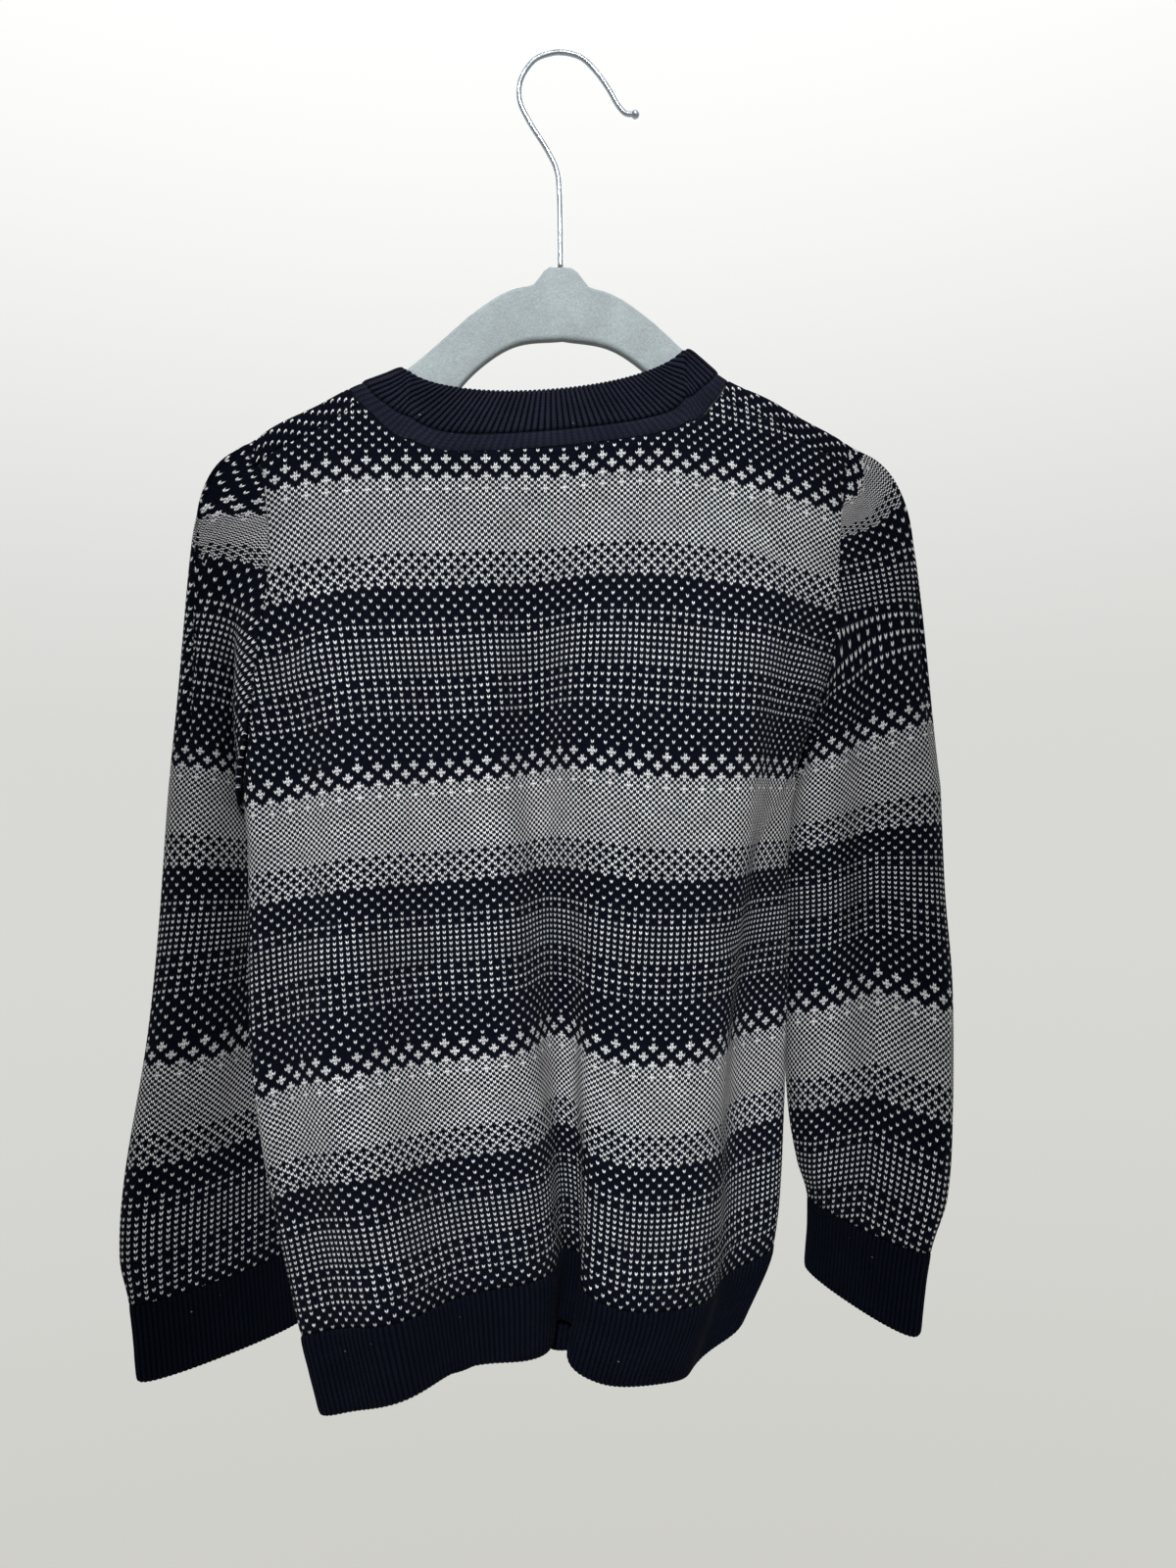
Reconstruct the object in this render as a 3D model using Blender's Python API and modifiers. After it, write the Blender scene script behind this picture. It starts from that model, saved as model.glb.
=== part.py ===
"""Striped crew-neck sweater hanging on a child's hanger.

+Z is up, the garment's back faces -Y, and the origin is the inside top of the hanger's hook.
Every length below is in millimetres; add_object turns millimetres into metres.
The knit is counted as on the machine: wales run across from the centre line, courses run
down from the first row of stars.
"""
import math

import bmesh
import bpy
from mathutils import Vector

# ---------------------------------------------------------------- driving sizes
MM = 0.001
WALL = 2.0                # thickness of the knit
GAP = 0.3                 # clearance at seams and where cloth rests on the hanger
SEAM_HALF_GAP = 0.24      # each edge's share of the gap at a curved seam
COURSE = 1.5              # height of one course
STAR = 6                  # wales from one star to the next
HALF_WALES = 120          # body panel, centre line to side seam
EDGE_STAR = -1.0          # star count at the left side seam; the right one is 39
YOKE_X = -10.0            # centre line of the yoke
YOKE_WALE = 1.63          # wale width where the shoulders stretch the knit
BACK, FRONT = -1, 1

HANGER_X = -7.0           # centre line of the hanger
HANGER_THICK = 6.0
WIRE = 3.0                # hook wire
REST = GAP + WALL / 2 + 0.25          # middle of the cloth above the hanger's top edge
BEND = HANGER_THICK / 2 + REST        # radius of the cloth where it goes over the hanger
QUARTER = BEND * math.pi / 2          # cloth used by a quarter turn over the hanger
STAND_OFF = 3.7           # how far the yoke swings out below the shoulders,
STAND_OFF_LENGTH = 25.0   # and the length of cloth in which it does so
LEAST_YOKE = 25.0         # least length of cloth from the fold-over line to the first star row
CLOSING_WALE = 98         # from this wale outwards, back and front of the yoke close together
SEAM_BACK = 17.0          # the shoulder seams lie this far down the back

# Heights where the garment's plan is known: course, height, wale width, left side seam x and y.
LEVELS = ("yoke", "chest", "waist", "rib", "hem")
SECTIONS = {
    # name    course     z    wale  seam_x  seam_y
    "yoke":  (0,      -226, 1.63,   -206,     -8),
    "chest": (98,     -379, 1.49,   -165,     -6),
    "waist": (196,    -514, 1.46,   -158,    -30),
    "rib":   (287,    -628, 1.36,   -138,    -34),
    "hem":   (313,    -662, 1.22,   -130,    -36),
}

# Upright folds. Each is a stretch of cloth that turns away from straight across:
# its middle and half width in stars from the left seam, and its turn in degrees
# (plus goes away from the viewer of the back), at chest, waist, rib and hem.
BACK_FOLDS = (
    # name            chest              waist              rib                hem
    ("left edge",   (-1.0, 3.6, -100), (-1.0, 2.4, -100), (-1.0, 2.6, -100), (-1.0, 2.6, -100)),
    ("left step",   (4.9, 2.4, -40),   (3.2, 3.0, -48),   (3.2, 3.2, -40),   (3.2, 3.2, -30)),
    ("left field",  (9.6, 4.6, 26),    (8.0, 4.4, 40),    (8.0, 4.4, 44),    (8.0, 4.4, 44)),
    ("valley in",   (16.2, 2.4, 50),   (17.0, 4.4, 62),   (16.8, 4.6, 76),   (16.8, 4.6, 80)),
    ("valley out",  (18.8, 3.2, -58),  (20.4, 2.6, -84),  (20.6, 2.8, -118), (20.6, 2.8, -130)),
    ("ridge fall",  (31.5, 3.8, 56),   (31.2, 5.2, 70),   (31.2, 5.2, 66),   (31.2, 5.2, 66)),
    ("right edge",  (38.4, 6.4, 98),   (39.0, 4.2, 95),   (39.0, 4.2, 95),   (39.0, 4.2, 95)),
)
FRONT_FOLDS = (
    ("left edge",   (-1.0, 3.2, 80),   (-1.0, 2.6, 80),   (-1.0, 2.6, 80),   (-1.0, 2.6, 80)),
    ("left wave",   (6.0, 3.4, -34),   (5.5, 3.4, -24),   (5.5, 3.4, -22),   (5.5, 3.4, -22)),
    ("left swell",  (11.5, 3.6, 42),   (11.0, 4.0, 58),   (11.0, 4.0, 60),   (11.0, 4.0, 60)),
    ("mid wave",    (17.5, 3.6, -38),  (17.5, 3.6, -50),  (17.5, 3.6, -52),  (17.5, 3.6, -52)),
    ("mid swell",   (23.5, 3.6, 44),   (23.5, 3.8, 62),   (23.5, 3.8, 64),   (23.5, 3.8, 64)),
    ("right wave",  (30.0, 3.6, -36),  (30.0, 3.6, -46),  (30.0, 3.6, -48),  (30.0, 3.6, -48)),
    ("right edge",  (38.8, 4.8, -85),  (39.0, 3.4, -85),  (39.0, 3.4, -85),  (39.0, 3.4, -85)),
)
FOLDS = {BACK: BACK_FOLDS, FRONT: FRONT_FOLDS}
EASE_START = 0.25         # share of a half panel, from the left seam, that the easing leaves alone

# How far the rows of stitches rise (plus) or droop along a level, at named wales.
LEFT_SEAM = ("left seam", -120, -30, -13, -10, -4, -2)
RIGHT_SEAM = ("right seam", 120, -32, 0, 9, 6, 8)
LIFTS = {
    BACK: (
        # name          wale  yoke chest waist rib hem
        LEFT_SEAM,
        ("left strip",   -96, -17, -10,   0,   4,   4),
        ("left field",   -66,  -7,  -5,   4,   8,  12),
        ("mid left",     -24,  -3,   0,   6,  12,  12),
        ("valley",        -3,  -1,   4,  11,  16,  18),
        ("right field",   30,   5,  -1,  -2,  -6,  -4),
        ("ridge",         54,   0,  -3,  -2,  -8,  -7),
        ("right hollow",  84, -13,  -1,   4,  -6, -10),
        RIGHT_SEAM,
    ),
    FRONT: (
        LEFT_SEAM,
        ("left half",    -60,  -6,  -4,   0,   6,   8),
        ("middle",         0,   0,   0,   2,   2,   2),
        ("right half",    60,  -3,   0,   2,   2,   2),
        RIGHT_SEAM,
    ),
}

# Armhole edge of a body panel: course, and wales from the centre line.
ARMHOLE = ((-60, 95), (-12, 92.2), (2, 90.2), (16, 89.8), (30, 91.5), (45, 95.5), (60, 100),
           (75, 104), (88, 108), (97, 112.5), (102, 116.5), (104, 120))
UNDERARM = 104
# Lengths of cloth from the fold-over line, along the neck seam and the armhole alike, at which
# the pieces are divided near the hanger; the last one is where a panel's main part begins.
NEAR_FOLD = {
    BACK: (0.0, 2.4, 4.8, 7.4, 11.5, SEAM_BACK),
    FRONT: (0.0, 2.4, 4.8, 7.4, 12.0),
}
# Rows of a panel's main part above the underarms, as shares of the way down.
TOP_SHARES = {
    BACK: (0, 0.10, 0.22, 0.35, 0.49, 0.63, 0.76, 0.87, 0.95, 1),
    FRONT: (0, 0.08, 0.19, 0.32, 0.47, 0.62, 0.76, 0.88, 0.96, 1),
}
SHOULDER_COLUMNS = 6
NECK_COLUMNS = {BACK: 24, FRONT: 26}

# Neck opening, seen from behind: middle, half width and drop of its seam and of its upper edge.
NECK_X = -22.0
NECK_HALF = 96.0
NECK_DROP = {BACK: 51.0, FRONT: 112.0}
NECK_SHAPE = {BACK: 0.35, FRONT: 0.45}
RIM_X = -15.5
RIM_HALF = 74.5
RIM_DROP = {BACK: 21.0, FRONT: 84.0}
RIM_SHAPE = {BACK: 0.50, FRONT: 0.50}
RIM_REST = 4.0            # the band's upper edge climbs the hanger for this much of its width
NECK_STAND = 5.0          # the neck stands off the hanger by this much more at its middle,
NECK_STAND_LENGTH = 14.0  # and the length of cloth in which it does so
NECK_STEPS = 400          # steps in which a half ring of the neckband is measured

# Hanger: distance from its middle, upper edge and lower edge.
HANGER = ((0, -129.5, -160), (25, -133, -162), (45, -146, -175), (66, -165.5, -201),
          (83, -180, -214), (107, -191, -224), (124, -201, -233), (146, -213, -243),
          (158, -224, -251), (165, -236, -255), (169, -248, -255))
HANGER_END = 169.0
HANGER_STATIONS = 44
END_CROWDING = 0.35       # the hanger's slices are closer together near its ends
# Crest of a sleeve cap over the hanger's end: distance from the middle, height.
CREST = ((160, -223), (168.5, -235), (174.5, -249), (178.5, -265), (181, -290))
NECK_STUB = (9.0, -120.0)             # half width and top of the socket that holds the hook
STUB_SLOPE = (0.6, 1.8)               # its sides slope between these multiples of its half width
HOOK = ((-7, -121), (-6.5, -100), (-6.3, -80), (-7.2, -66), (-12, -54.5), (-21, -39), (-25.8, -27),
        (-24.6, -15), (-17.5, -4), (-8, 0.8), (0, 1.5), (8.5, -1), (16, -8.5), (22, -17.5),
        (26.5, -26), (30.5, -30.8), (35, -31.4))
HOOK_BALL = 2.4

# Sleeves below the armhole: ends of each flattened ring on the outer and the inner side,
# half depth, and depth of the long crease down its back.
SLEEVES = {
    "left": (
        # name            outer x, y, z         inner x, y, z        half depth, crease
        ("upper arm",   (-196, -6, -402),     (-170, 50, -414),     17, 0),
        ("above elbow", (-200, -6, -452),     (-167, 46, -458),     18, 2),
        ("elbow",       (-208, -5, -508),     (-160, 42, -508),     17, 3),
        ("forearm",     (-219, -2, -566),     (-156, 40, -560),     16, 2),
        ("gather",      (-222, 0, -604),      (-152, 38, -594),     15, 1),
        ("cuff seam",   (-218, 0, -624),      (-149, 36, -612),     11, 0),
        ("cuff end",    (-214, -2, -657),     (-146, 34, -646),     10, 0),
    ),
    "right": (
        ("upper arm",   (179, -6, -396),      (118, 44, -410),      24, 7),
        ("above elbow", (177, -8, -450),      (113, 48, -458),      20, 9),
        ("elbow",       (178, -8, -498),      (110, 48, -500),      18, 6),
        ("forearm",     (174, -8, -560),      (109, 46, -556),      16, 3),
        ("gather",      (168, -8, -602),      (112, 44, -588),      14, 2),
        ("cuff seam",   (158, -8, -626),      (116, 42, -607),      10, 0),
        ("cuff end",    (149, -10, -664),     (112, 40, -642),       9, 0),
    ),
}
SLEEVE_KNOTS = (0, 1, 2, 3, 4, 4.5, 5.3)          # places of those rings along the sleeve
CUFF_SEAM_KNOT = 4.5
KNOT_LENGTH = 60.0        # length of sleeve from one whole knot to the next, about
GROOVE_AT = -0.2          # the crease's place between the inner (-1) and the outer (+1) side
GROOVE_HALF = 0.5
RING_SPREAD = 0.8         # how evenly the armhole's stitches spread round the sleeve
RING_ENDS, RING_SIDES = 0.9, 0.85                 # roundness of a ring at its ends and sides
# Sleeve cap: how its rows crowd at the seam, how far it leaves the armhole straight on, and how
# its underside is led away from the body.
CAP_CROWDING = 1.35
CAP_LEAD, LEAST_LEAD = 0.75, 16.0
UNDERSIDE_FROM, UNDERSIDE_TO = 0.66, 0.96
UNDERSIDE_OUT, UNDERSIDE_DOWN = 0.9, -0.5
UNDERSIDE_STEP = WALL + GAP + 0.6
CREST_REACH = 0.55        # share of the cap's half turn that follows its crest
RIB_HEIGHT = 0.6
HEM_SEAM_SHARE = 1.3      # gaps that the hem band's top lies below the middle of its seam

# How finely each piece is divided.
BODY_ROWS = 7
CROWDING = 0.5            # panels are divided more finely near their side seams
CAP_ROWS = 9
SLEEVE_ROWS = 7
NECK_RIB_POINTS = 3       # rib points to one column of the neck, the hem and a cuff
HEM_RIB_POINTS = 2
CUFF_RIB_POINTS = 2


# ---------------------------------------------------------------- curves and folds
def hump(t):
    """A smooth bump: 1 in the middle, 0 from t = 1 on."""
    return 0.5 + 0.5 * math.cos(math.pi * t) if abs(t) < 1 else 0.0


def smoothstep(t):
    t = min(max(t, 0.0), 1.0)
    return t * t * (3 - 2 * t)


def spline(knots, values, at, start_slope=None):
    """Smooth curve through values at rising knots; values are numbers or Vectors."""
    last = len(knots) - 1
    k = 0
    while k < last - 1 and at > knots[k + 1]:
        k += 1
    at = min(max(at, knots[0]), knots[-1])

    def slope(j):
        if j == 0 and start_slope is not None:
            return start_slope
        low, high = max(j - 1, 0), min(j + 1, last)
        return (values[high] - values[low]) / (knots[high] - knots[low])

    span = knots[k + 1] - knots[k]
    t = (at - knots[k]) / span
    return (values[k] * (2 * t ** 3 - 3 * t ** 2 + 1) + slope(k) * (span * (t ** 3 - 2 * t ** 2 + t))
            + values[k + 1] * (3 * t ** 2 - 2 * t ** 3) + slope(k + 1) * (span * (t ** 3 - t ** 2)))


def column_of(rows, index):
    return [row[index] for row in rows]


def hanger_top(x):
    distance = min(abs(x - HANGER_X), HANGER_END)
    return spline(column_of(HANGER, 0), column_of(HANGER, 1), distance)


def hanger_bottom(x):
    distance = min(abs(x - HANGER_X), HANGER_END)
    return spline(column_of(HANGER, 0), column_of(HANGER, 2), distance)


def cloth_over_hanger(x):
    """Height of the middle of the cloth that lies on the hanger's sloping top edge."""
    slope = (hanger_top(x + 1) - hanger_top(x - 1)) / 2
    return hanger_top(x) + REST * math.sqrt(1 + slope ** 2)


def fold_over(x):
    """Height of the line where the middle of the cloth turns from back to front."""
    left, right = RIM_X - RIM_HALF + RIM_REST, RIM_X + RIM_HALF - RIM_REST
    if left < x < right:
        share = (x - left) / (right - left)
        return (1 - share) * cloth_over_hanger(left) + share * cloth_over_hanger(right)
    return cloth_over_hanger(x)


def lift(side, wale, level):
    rows = LIFTS[side]
    return spline(column_of(rows, 1), column_of(rows, 2 + level), wale)


def heading(side, star, level):
    """Direction of the cloth in plan, in radians, at a level from chest (1) to hem (4)."""
    turns = (fold[level] for fold in FOLDS[side])
    return math.radians(sum(turn * hump((star - middle) / half) for middle, half, turn in turns))


def walk(side, level):
    """Plan of one level: x and y at every wale from the left side seam to the right one."""
    _, _, wale_width, x, y = SECTIONS[LEVELS[level]]
    points = [(x, y)]
    for step in range(2 * HALF_WALES):
        angle = heading(side, EDGE_STAR + (step + 0.5) / STAR, level)
        x += wale_width * math.cos(angle)
        y += wale_width * math.sin(angle)
        points.append((x, y))
    return points


def make_plans():
    """Plans of both panels; the front is eased so that it ends at the back's side seam."""
    plans = {}
    for level in range(1, len(LEVELS)):
        back, front = walk(BACK, level), walk(FRONT, level)
        off_x, off_y = back[-1][0] - front[-1][0], back[-1][1] - front[-1][1]
        share = [smoothstep((k / HALF_WALES - EASE_START) / (2 - EASE_START))
                 for k in range(2 * HALF_WALES + 1)]
        plans[BACK, level] = back
        plans[FRONT, level] = [(x + off_x * s, y + off_y * s) for (x, y), s in zip(front, share)]
    return plans


PLANS = make_plans()


def plan_point(side, level, wale):
    points = PLANS[side, level]
    at = min(max(wale + HALF_WALES, 0), 2 * HALF_WALES)
    k = min(int(at), 2 * HALF_WALES - 1)
    share = at - k
    return [(1 - share) * a + share * b for a, b in zip(points[k], points[k + 1])]


# ---------------------------------------------------------------- the cloth's surface
def neck_bulge(x):
    return NECK_STAND * hump((x - NECK_X) / NECK_HALF)


def draped(side, x, cloth):
    """Point of the yoke after some length of cloth below the fold-over line."""
    sign = 1 if cloth >= 0 else -1
    length = abs(cloth)
    turn = min(length, QUARTER) / BEND
    y, fall = BEND * math.sin(turn), BEND * (1 - math.cos(turn))
    if length > QUARTER:
        y += STAND_OFF * (1 - math.exp((QUARTER - length) / STAND_OFF_LENGTH))
        fall += length - QUARTER
        y += neck_bulge(x) * smoothstep((length - QUARTER) / NECK_STAND_LENGTH)
    return Vector((x, side * sign * y, fold_over(x) - fall))


def yoke_cloth(side, wale):
    """Length of cloth from the fold-over line to the first star row."""
    x = YOKE_X + wale * YOKE_WALE
    row_z = SECTIONS["yoke"][1] + lift(side, wale, 0)
    return max(fold_over(x) - row_z - BEND + QUARTER, LEAST_YOKE)


def level_point(side, wale, level):
    if level == 0:
        x = YOKE_X + wale * YOKE_WALE
        point = draped(side, x, yoke_cloth(side, wale))
        point.y *= 1 - smoothstep((abs(wale) - CLOSING_WALE) / (HALF_WALES - CLOSING_WALE))
        point.z = SECTIONS["yoke"][1] + lift(side, wale, 0)
        return point
    x, y = plan_point(side, level, wale)
    return Vector((x, y, SECTIONS[LEVELS[level]][1] + lift(side, wale, level)))


def cloth_point(side, wale, course):
    """Middle of the knit of a body panel, at a wale and a course."""
    if course <= 0:
        x = YOKE_X + wale * YOKE_WALE
        return draped(side, x, yoke_cloth(side, wale) + COURSE * course)
    knots = [SECTIONS[name][0] for name in LEVELS]
    values = [level_point(side, wale, level) for level in range(len(LEVELS))]
    return spline(knots, values, course, start_slope=Vector((0, 0, -COURSE)))


def course_at(side, wale, cloth):
    """Course that lies a length of cloth below the fold-over line; minus is over on the other side."""
    return (cloth - yoke_cloth(side, wale)) / COURSE


def neck_chain(side, share, outset=0.0):
    """Half ring of the neckband from left to right fold-over, as x and cloth length;
    share runs from the seam (0) to the rim (1), and the outset moves the seam outwards."""
    chain = []
    for k in range(NECK_STEPS + 1):
        angle = math.pi * k / NECK_STEPS
        across, depth = -math.cos(angle), math.sin(angle)
        seam_x, rim_x = NECK_X + (NECK_HALF + outset) * across, RIM_X + RIM_HALF * across
        seam_drop = NECK_DROP[side] * depth ** (2 * NECK_SHAPE[side]) + outset * depth
        rim_drop = RIM_DROP[side] * depth ** (2 * RIM_SHAPE[side])
        chain.append(Vector(((1 - share) * seam_x + share * rim_x,
                             (1 - share) * seam_drop + share * rim_drop)))
    return chain


def places_along(chain, goals):
    """Places in a chain, counted in its points, that lie at given lengths along it."""
    lengths = [0.0]
    for a, b in zip(chain, chain[1:]):
        lengths.append(lengths[-1] + (b - a).length)
    places = []
    for goal in goals:
        k = 0
        while k < len(chain) - 2 and lengths[k + 1] < goal:
            k += 1
        places.append(k + (goal - lengths[k]) / (lengths[k + 1] - lengths[k]))
    return places


def neck_half(side, share, outset=0.0):
    """Columns of one half ring of the neckband, from the left fold-over to the right one."""
    chain, ruler = neck_chain(side, share, outset), neck_chain(side, share)
    total = sum((b - a).length for a, b in zip(ruler, ruler[1:]))
    near, columns = list(NEAR_FOLD[side]), NECK_COLUMNS[side]
    inner = [near[-1] + (total - 2 * near[-1]) * k / columns for k in range(1, columns)]
    goals = near + inner + [total - length for length in reversed(near)]
    points = []
    for place in places_along(ruler, goals):
        k = min(int(place), len(chain) - 2)
        points.append(chain[k].lerp(chain[k + 1], place - k))
    return points


def top_edge(side):
    """Upper edge of a panel's main part from its left tip to its right tip, as wale and course."""
    cloth = NEAR_FOLD[side][-1] + (SEAM_HALF_GAP if side == BACK else 0)
    near = len(NEAR_FOLD[side]) - 1
    neck = neck_half(side, 0.0, SEAM_HALF_GAP)[near:-near]
    left, right = Vector((armhole_x(side, -1, cloth), cloth)), Vector((armhole_x(side, 1, cloth), cloth))
    inner_left, inner_right = Vector((neck[0].x, cloth)), Vector((neck[-1].x, cloth))
    shares = [k / SHOULDER_COLUMNS for k in range(SHOULDER_COLUMNS)]
    edge = [left.lerp(inner_left, share) for share in shares] + [inner_left] + neck[1:-1]
    edge += [inner_right] + [right.lerp(inner_right, share) for share in reversed(shares)]
    return [flat_point(side, *point) for point in edge]


def flat_point(side, x, cloth):
    """Wale and course of a point of the yoke."""
    wale = (x - YOKE_X) / YOKE_WALE
    return Vector((wale, course_at(side, wale, cloth)))


def armhole_x(side, hand, cloth):
    """Where the armhole edge crosses a line at some length of cloth from the fold-over."""
    wale = hand * armhole_wale(-15)
    for _ in range(4):
        wale = hand * (armhole_wale(course_at(side, wale, cloth)) - GAP / 3)
    return YOKE_X + wale * YOKE_WALE


def armhole_wale(course):
    return spline(column_of(ARMHOLE, 0), column_of(ARMHOLE, 1), course)


def side_edge(side, hand, share):
    """Armhole edge of a panel's main part, from its top (0) to the underarm (1)."""
    top = TOP_EDGES[side][0 if hand < 0 else -1].y
    course = top + (UNDERARM - top) * share
    return Vector((hand * (armhole_wale(course) - GAP / 3), course))


def crowded(share, amount):
    """Share of a row, drawn towards both of its ends."""
    return share - amount * math.sin(2 * math.pi * share) / (2 * math.pi)


def body_wale(share):
    return (HALF_WALES - GAP / 3) * (2 * crowded(share, CROWDING) - 1)


def panel_flat(side, column, down):
    """Wale and course inside a panel's main part, above the underarms."""
    edge = TOP_EDGES[side]
    across = column / (len(edge) - 1)
    low = Vector((body_wale(across), UNDERARM))
    low_left, low_right = Vector((body_wale(0), UNDERARM)), Vector((body_wale(1), UNDERARM))
    flat = (1 - down) * edge[column] + down * low
    flat += (1 - across) * side_edge(side, -1, down) + across * side_edge(side, 1, down)
    flat -= (1 - down) * ((1 - across) * edge[0] + across * edge[-1])
    flat -= down * ((1 - across) * low_left + across * low_right)
    return flat


def panel_grid(side):
    """Points of a panel's main part, row by row down to the rib."""
    columns = len(TOP_EDGES[side]) - 1
    grid = []
    for down in TOP_SHARES[side]:
        flats = [panel_flat(side, column, down) for column in range(columns + 1)]
        grid.append([cloth_point(side, *flat) for flat in flats])
    last = SECTIONS["rib"][0] - GAP / 2 / COURSE
    for r in range(1, BODY_ROWS + 1):
        course = UNDERARM + (last - UNDERARM) * r / BODY_ROWS
        grid.append([cloth_point(side, body_wale(c / columns), course) for c in range(columns + 1)])
    return grid


def shoulder_grid(hand):
    """The front's shoulder, from its seam on the back over the hanger to its main part."""
    over, down = neck_half(BACK, 0.0, SEAM_HALF_GAP), neck_half(FRONT, 0.0, SEAM_HALF_GAP)
    if hand > 0:
        over.reverse()
        down.reverse()
    grid = []
    lengths = [(-length, over[k].x) for k, length in enumerate(NEAR_FOLD[BACK])][:0:-1]
    lengths += [(length, down[k].x) for k, length in enumerate(NEAR_FOLD[FRONT])]
    for cloth, neck_x in lengths:
        if cloth == -SEAM_BACK:
            cloth += SEAM_HALF_GAP
        tip = armhole_x(FRONT, hand, cloth)
        xs = [tip + (neck_x - tip) * k / SHOULDER_COLUMNS for k in range(SHOULDER_COLUMNS + 1)]
        grid.append([cloth_point(FRONT, *flat_point(FRONT, x, cloth)) for x in xs])
    edge = TOP_EDGES[FRONT] if hand < 0 else TOP_EDGES[FRONT][::-1]
    grid[-1] = [cloth_point(FRONT, *flat) for flat in edge[:SHOULDER_COLUMNS + 1]]
    return grid


TOP_EDGES = {side: top_edge(side) for side in (BACK, FRONT)}


# ---------------------------------------------------------------- Blender objects
def make_collection(name):
    collection = bpy.data.collections.new(name)
    bpy.context.scene.collection.children.link(collection)
    return collection


def make_material(name, color, roughness, metallic=0.0):
    material = bpy.data.materials.new(name)
    material.use_nodes = True
    shader = material.node_tree.nodes["Principled BSDF"]
    shader.inputs["Base Color"].default_value = (*color, 1)
    shader.inputs["Roughness"].default_value = roughness
    shader.inputs["Metallic"].default_value = metallic
    return material


def add_object(name, points, faces, material):
    mesh = bpy.data.meshes.new(name)
    mesh.from_pydata([tuple(MM * c for c in point) for point in points], [], faces)
    mesh.materials.append(material)
    mesh.shade_smooth()
    item = bpy.data.objects.new(name, mesh)
    PARTS.objects.link(item)
    return item


def add_sheet(name, grids, material, closed=False):
    """Open cloth from grids of points that share edges, given its thickness by Solidify."""
    points, faces = [], []
    for grid in grids:
        width, first = len(grid[0]), len(points)
        points += [point for row in grid for point in row]
        for r in range(len(grid) - 1):
            for c in range(width if closed else width - 1):
                a, b = first + r * width + c, first + r * width + (c + 1) % width
                faces.append((a, b, b + width, a + width))
    item = add_object(name, points, faces, material)
    shape = bmesh.new()
    shape.from_mesh(item.data)
    bmesh.ops.remove_doubles(shape, verts=shape.verts, dist=0.00002)
    bmesh.ops.recalc_face_normals(shape, faces=shape.faces)
    shape.to_mesh(item.data)
    shape.free()
    solid = item.modifiers.new("knit thickness", "SOLIDIFY")
    solid.thickness = WALL * MM
    solid.offset = 0
    solid.use_quality_normals = True
    return item


def add_ribbed_tube(name, columns, parts, material, height=RIB_HEIGHT):
    """Closed band of rib: every second outer point is raised, the inside stays plain.
    Each step between two columns is divided into parts."""
    rows = []
    for row in columns:
        pairs = zip(row, row[1:] + row[:1])
        rows.append([a.lerp(b, k / parts) for a, b in pairs for k in range(parts)])
    count, width = len(rows), len(rows[0])
    outer, inner = [], []
    for r, row in enumerate(rows):
        for c, point in enumerate(row):
            along = row[(c + 1) % width] - row[c - 1]
            down = rows[min(r + 1, count - 1)][c] - rows[max(r - 1, 0)][c]
            normal = along.cross(down).normalized()
            raised = height if c % 2 == 0 else 0.0
            outer.append(point + normal * (WALL / 2 - height / 2 + raised))
            inner.append(point - normal * (WALL / 2))
    faces = []
    shift = count * width
    for c in range(width):
        d = (c + 1) % width
        for r in range(count - 1):
            a, b, e, f = r * width + c, r * width + d, (r + 1) * width + d, (r + 1) * width + c
            faces.append((f, e, b, a))
            faces.append((shift + a, shift + b, shift + e, shift + f))
        low = (count - 1) * width
        faces.append((c, d, shift + d, shift + c))
        faces.append((shift + low + c, shift + low + d, low + d, low + c))
    item = add_object(name, outer + inner, faces, material)
    make_outward(item)
    return item


def make_outward(item):
    shape = bmesh.new()
    shape.from_mesh(item.data)
    bmesh.ops.recalc_face_normals(shape, faces=shape.faces)
    if shape.calc_volume(signed=True) < 0:
        bmesh.ops.reverse_faces(shape, faces=shape.faces)
    shape.to_mesh(item.data)
    shape.free()


# ---------------------------------------------------------------- sleeves
def armhole_sample(side, hand, wale, course):
    """Edge point of a panel and the direction that leaves the panel there."""
    low = hand * (armhole_wale(course - 0.5) - GAP / 3), course - 0.5
    high = hand * (armhole_wale(course + 0.5) - GAP / 3), course + 0.5
    edge = (cloth_point(side, *high) - cloth_point(side, *low)).normalized()
    here = cloth_point(side, wale, course)
    inward = cloth_point(side, wale - hand * 2, course) - here
    return here, (edge * inward.dot(edge) - inward).normalized()


def armhole_rows(side, hand):
    """Samples down one panel's armhole, from the fold-over line to the underarm."""
    cloths = NEAR_FOLD[side][:-1]
    if side == BACK:
        cloths = [-cloth for cloth in NEAR_FOLD[BACK]]
    flats = [flat_point(FRONT, armhole_x(FRONT, hand, cloth), cloth) for cloth in cloths]
    samples = [armhole_sample(FRONT, hand, *flat) for flat in flats]
    shares = TOP_SHARES[side][1:] if side == BACK else TOP_SHARES[side]
    return samples + [armhole_sample(side, hand, *side_edge(side, hand, share)) for share in shares]


def armhole_seam(hand):
    """Ring of armhole samples: from the fold down the back, under the arm and up the front."""
    back, front = armhole_rows(BACK, hand), armhole_rows(FRONT, hand)
    return back + front[-2:0:-1], len(back) - 1


def ring_turns(seam, under):
    """Share of the way round from the fold-over (0) to the underarm (1) of each ring point."""
    turns = [0.0]
    for (a, _), (b, _) in zip(seam[:under], seam[1:under + 1]):
        turns.append(turns[-1] + (b - a).length)
    turns = [turn / turns[-1] for turn in turns]
    rising = [0.0]
    for (a, _), (b, _) in zip((seam + seam[:1])[:under:-1], seam[:under - 1:-1]):
        rising.append(rising[-1] + (b - a).length)
    return turns + [turn / rising[-1] for turn in reversed(rising[1:-1])]


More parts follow.
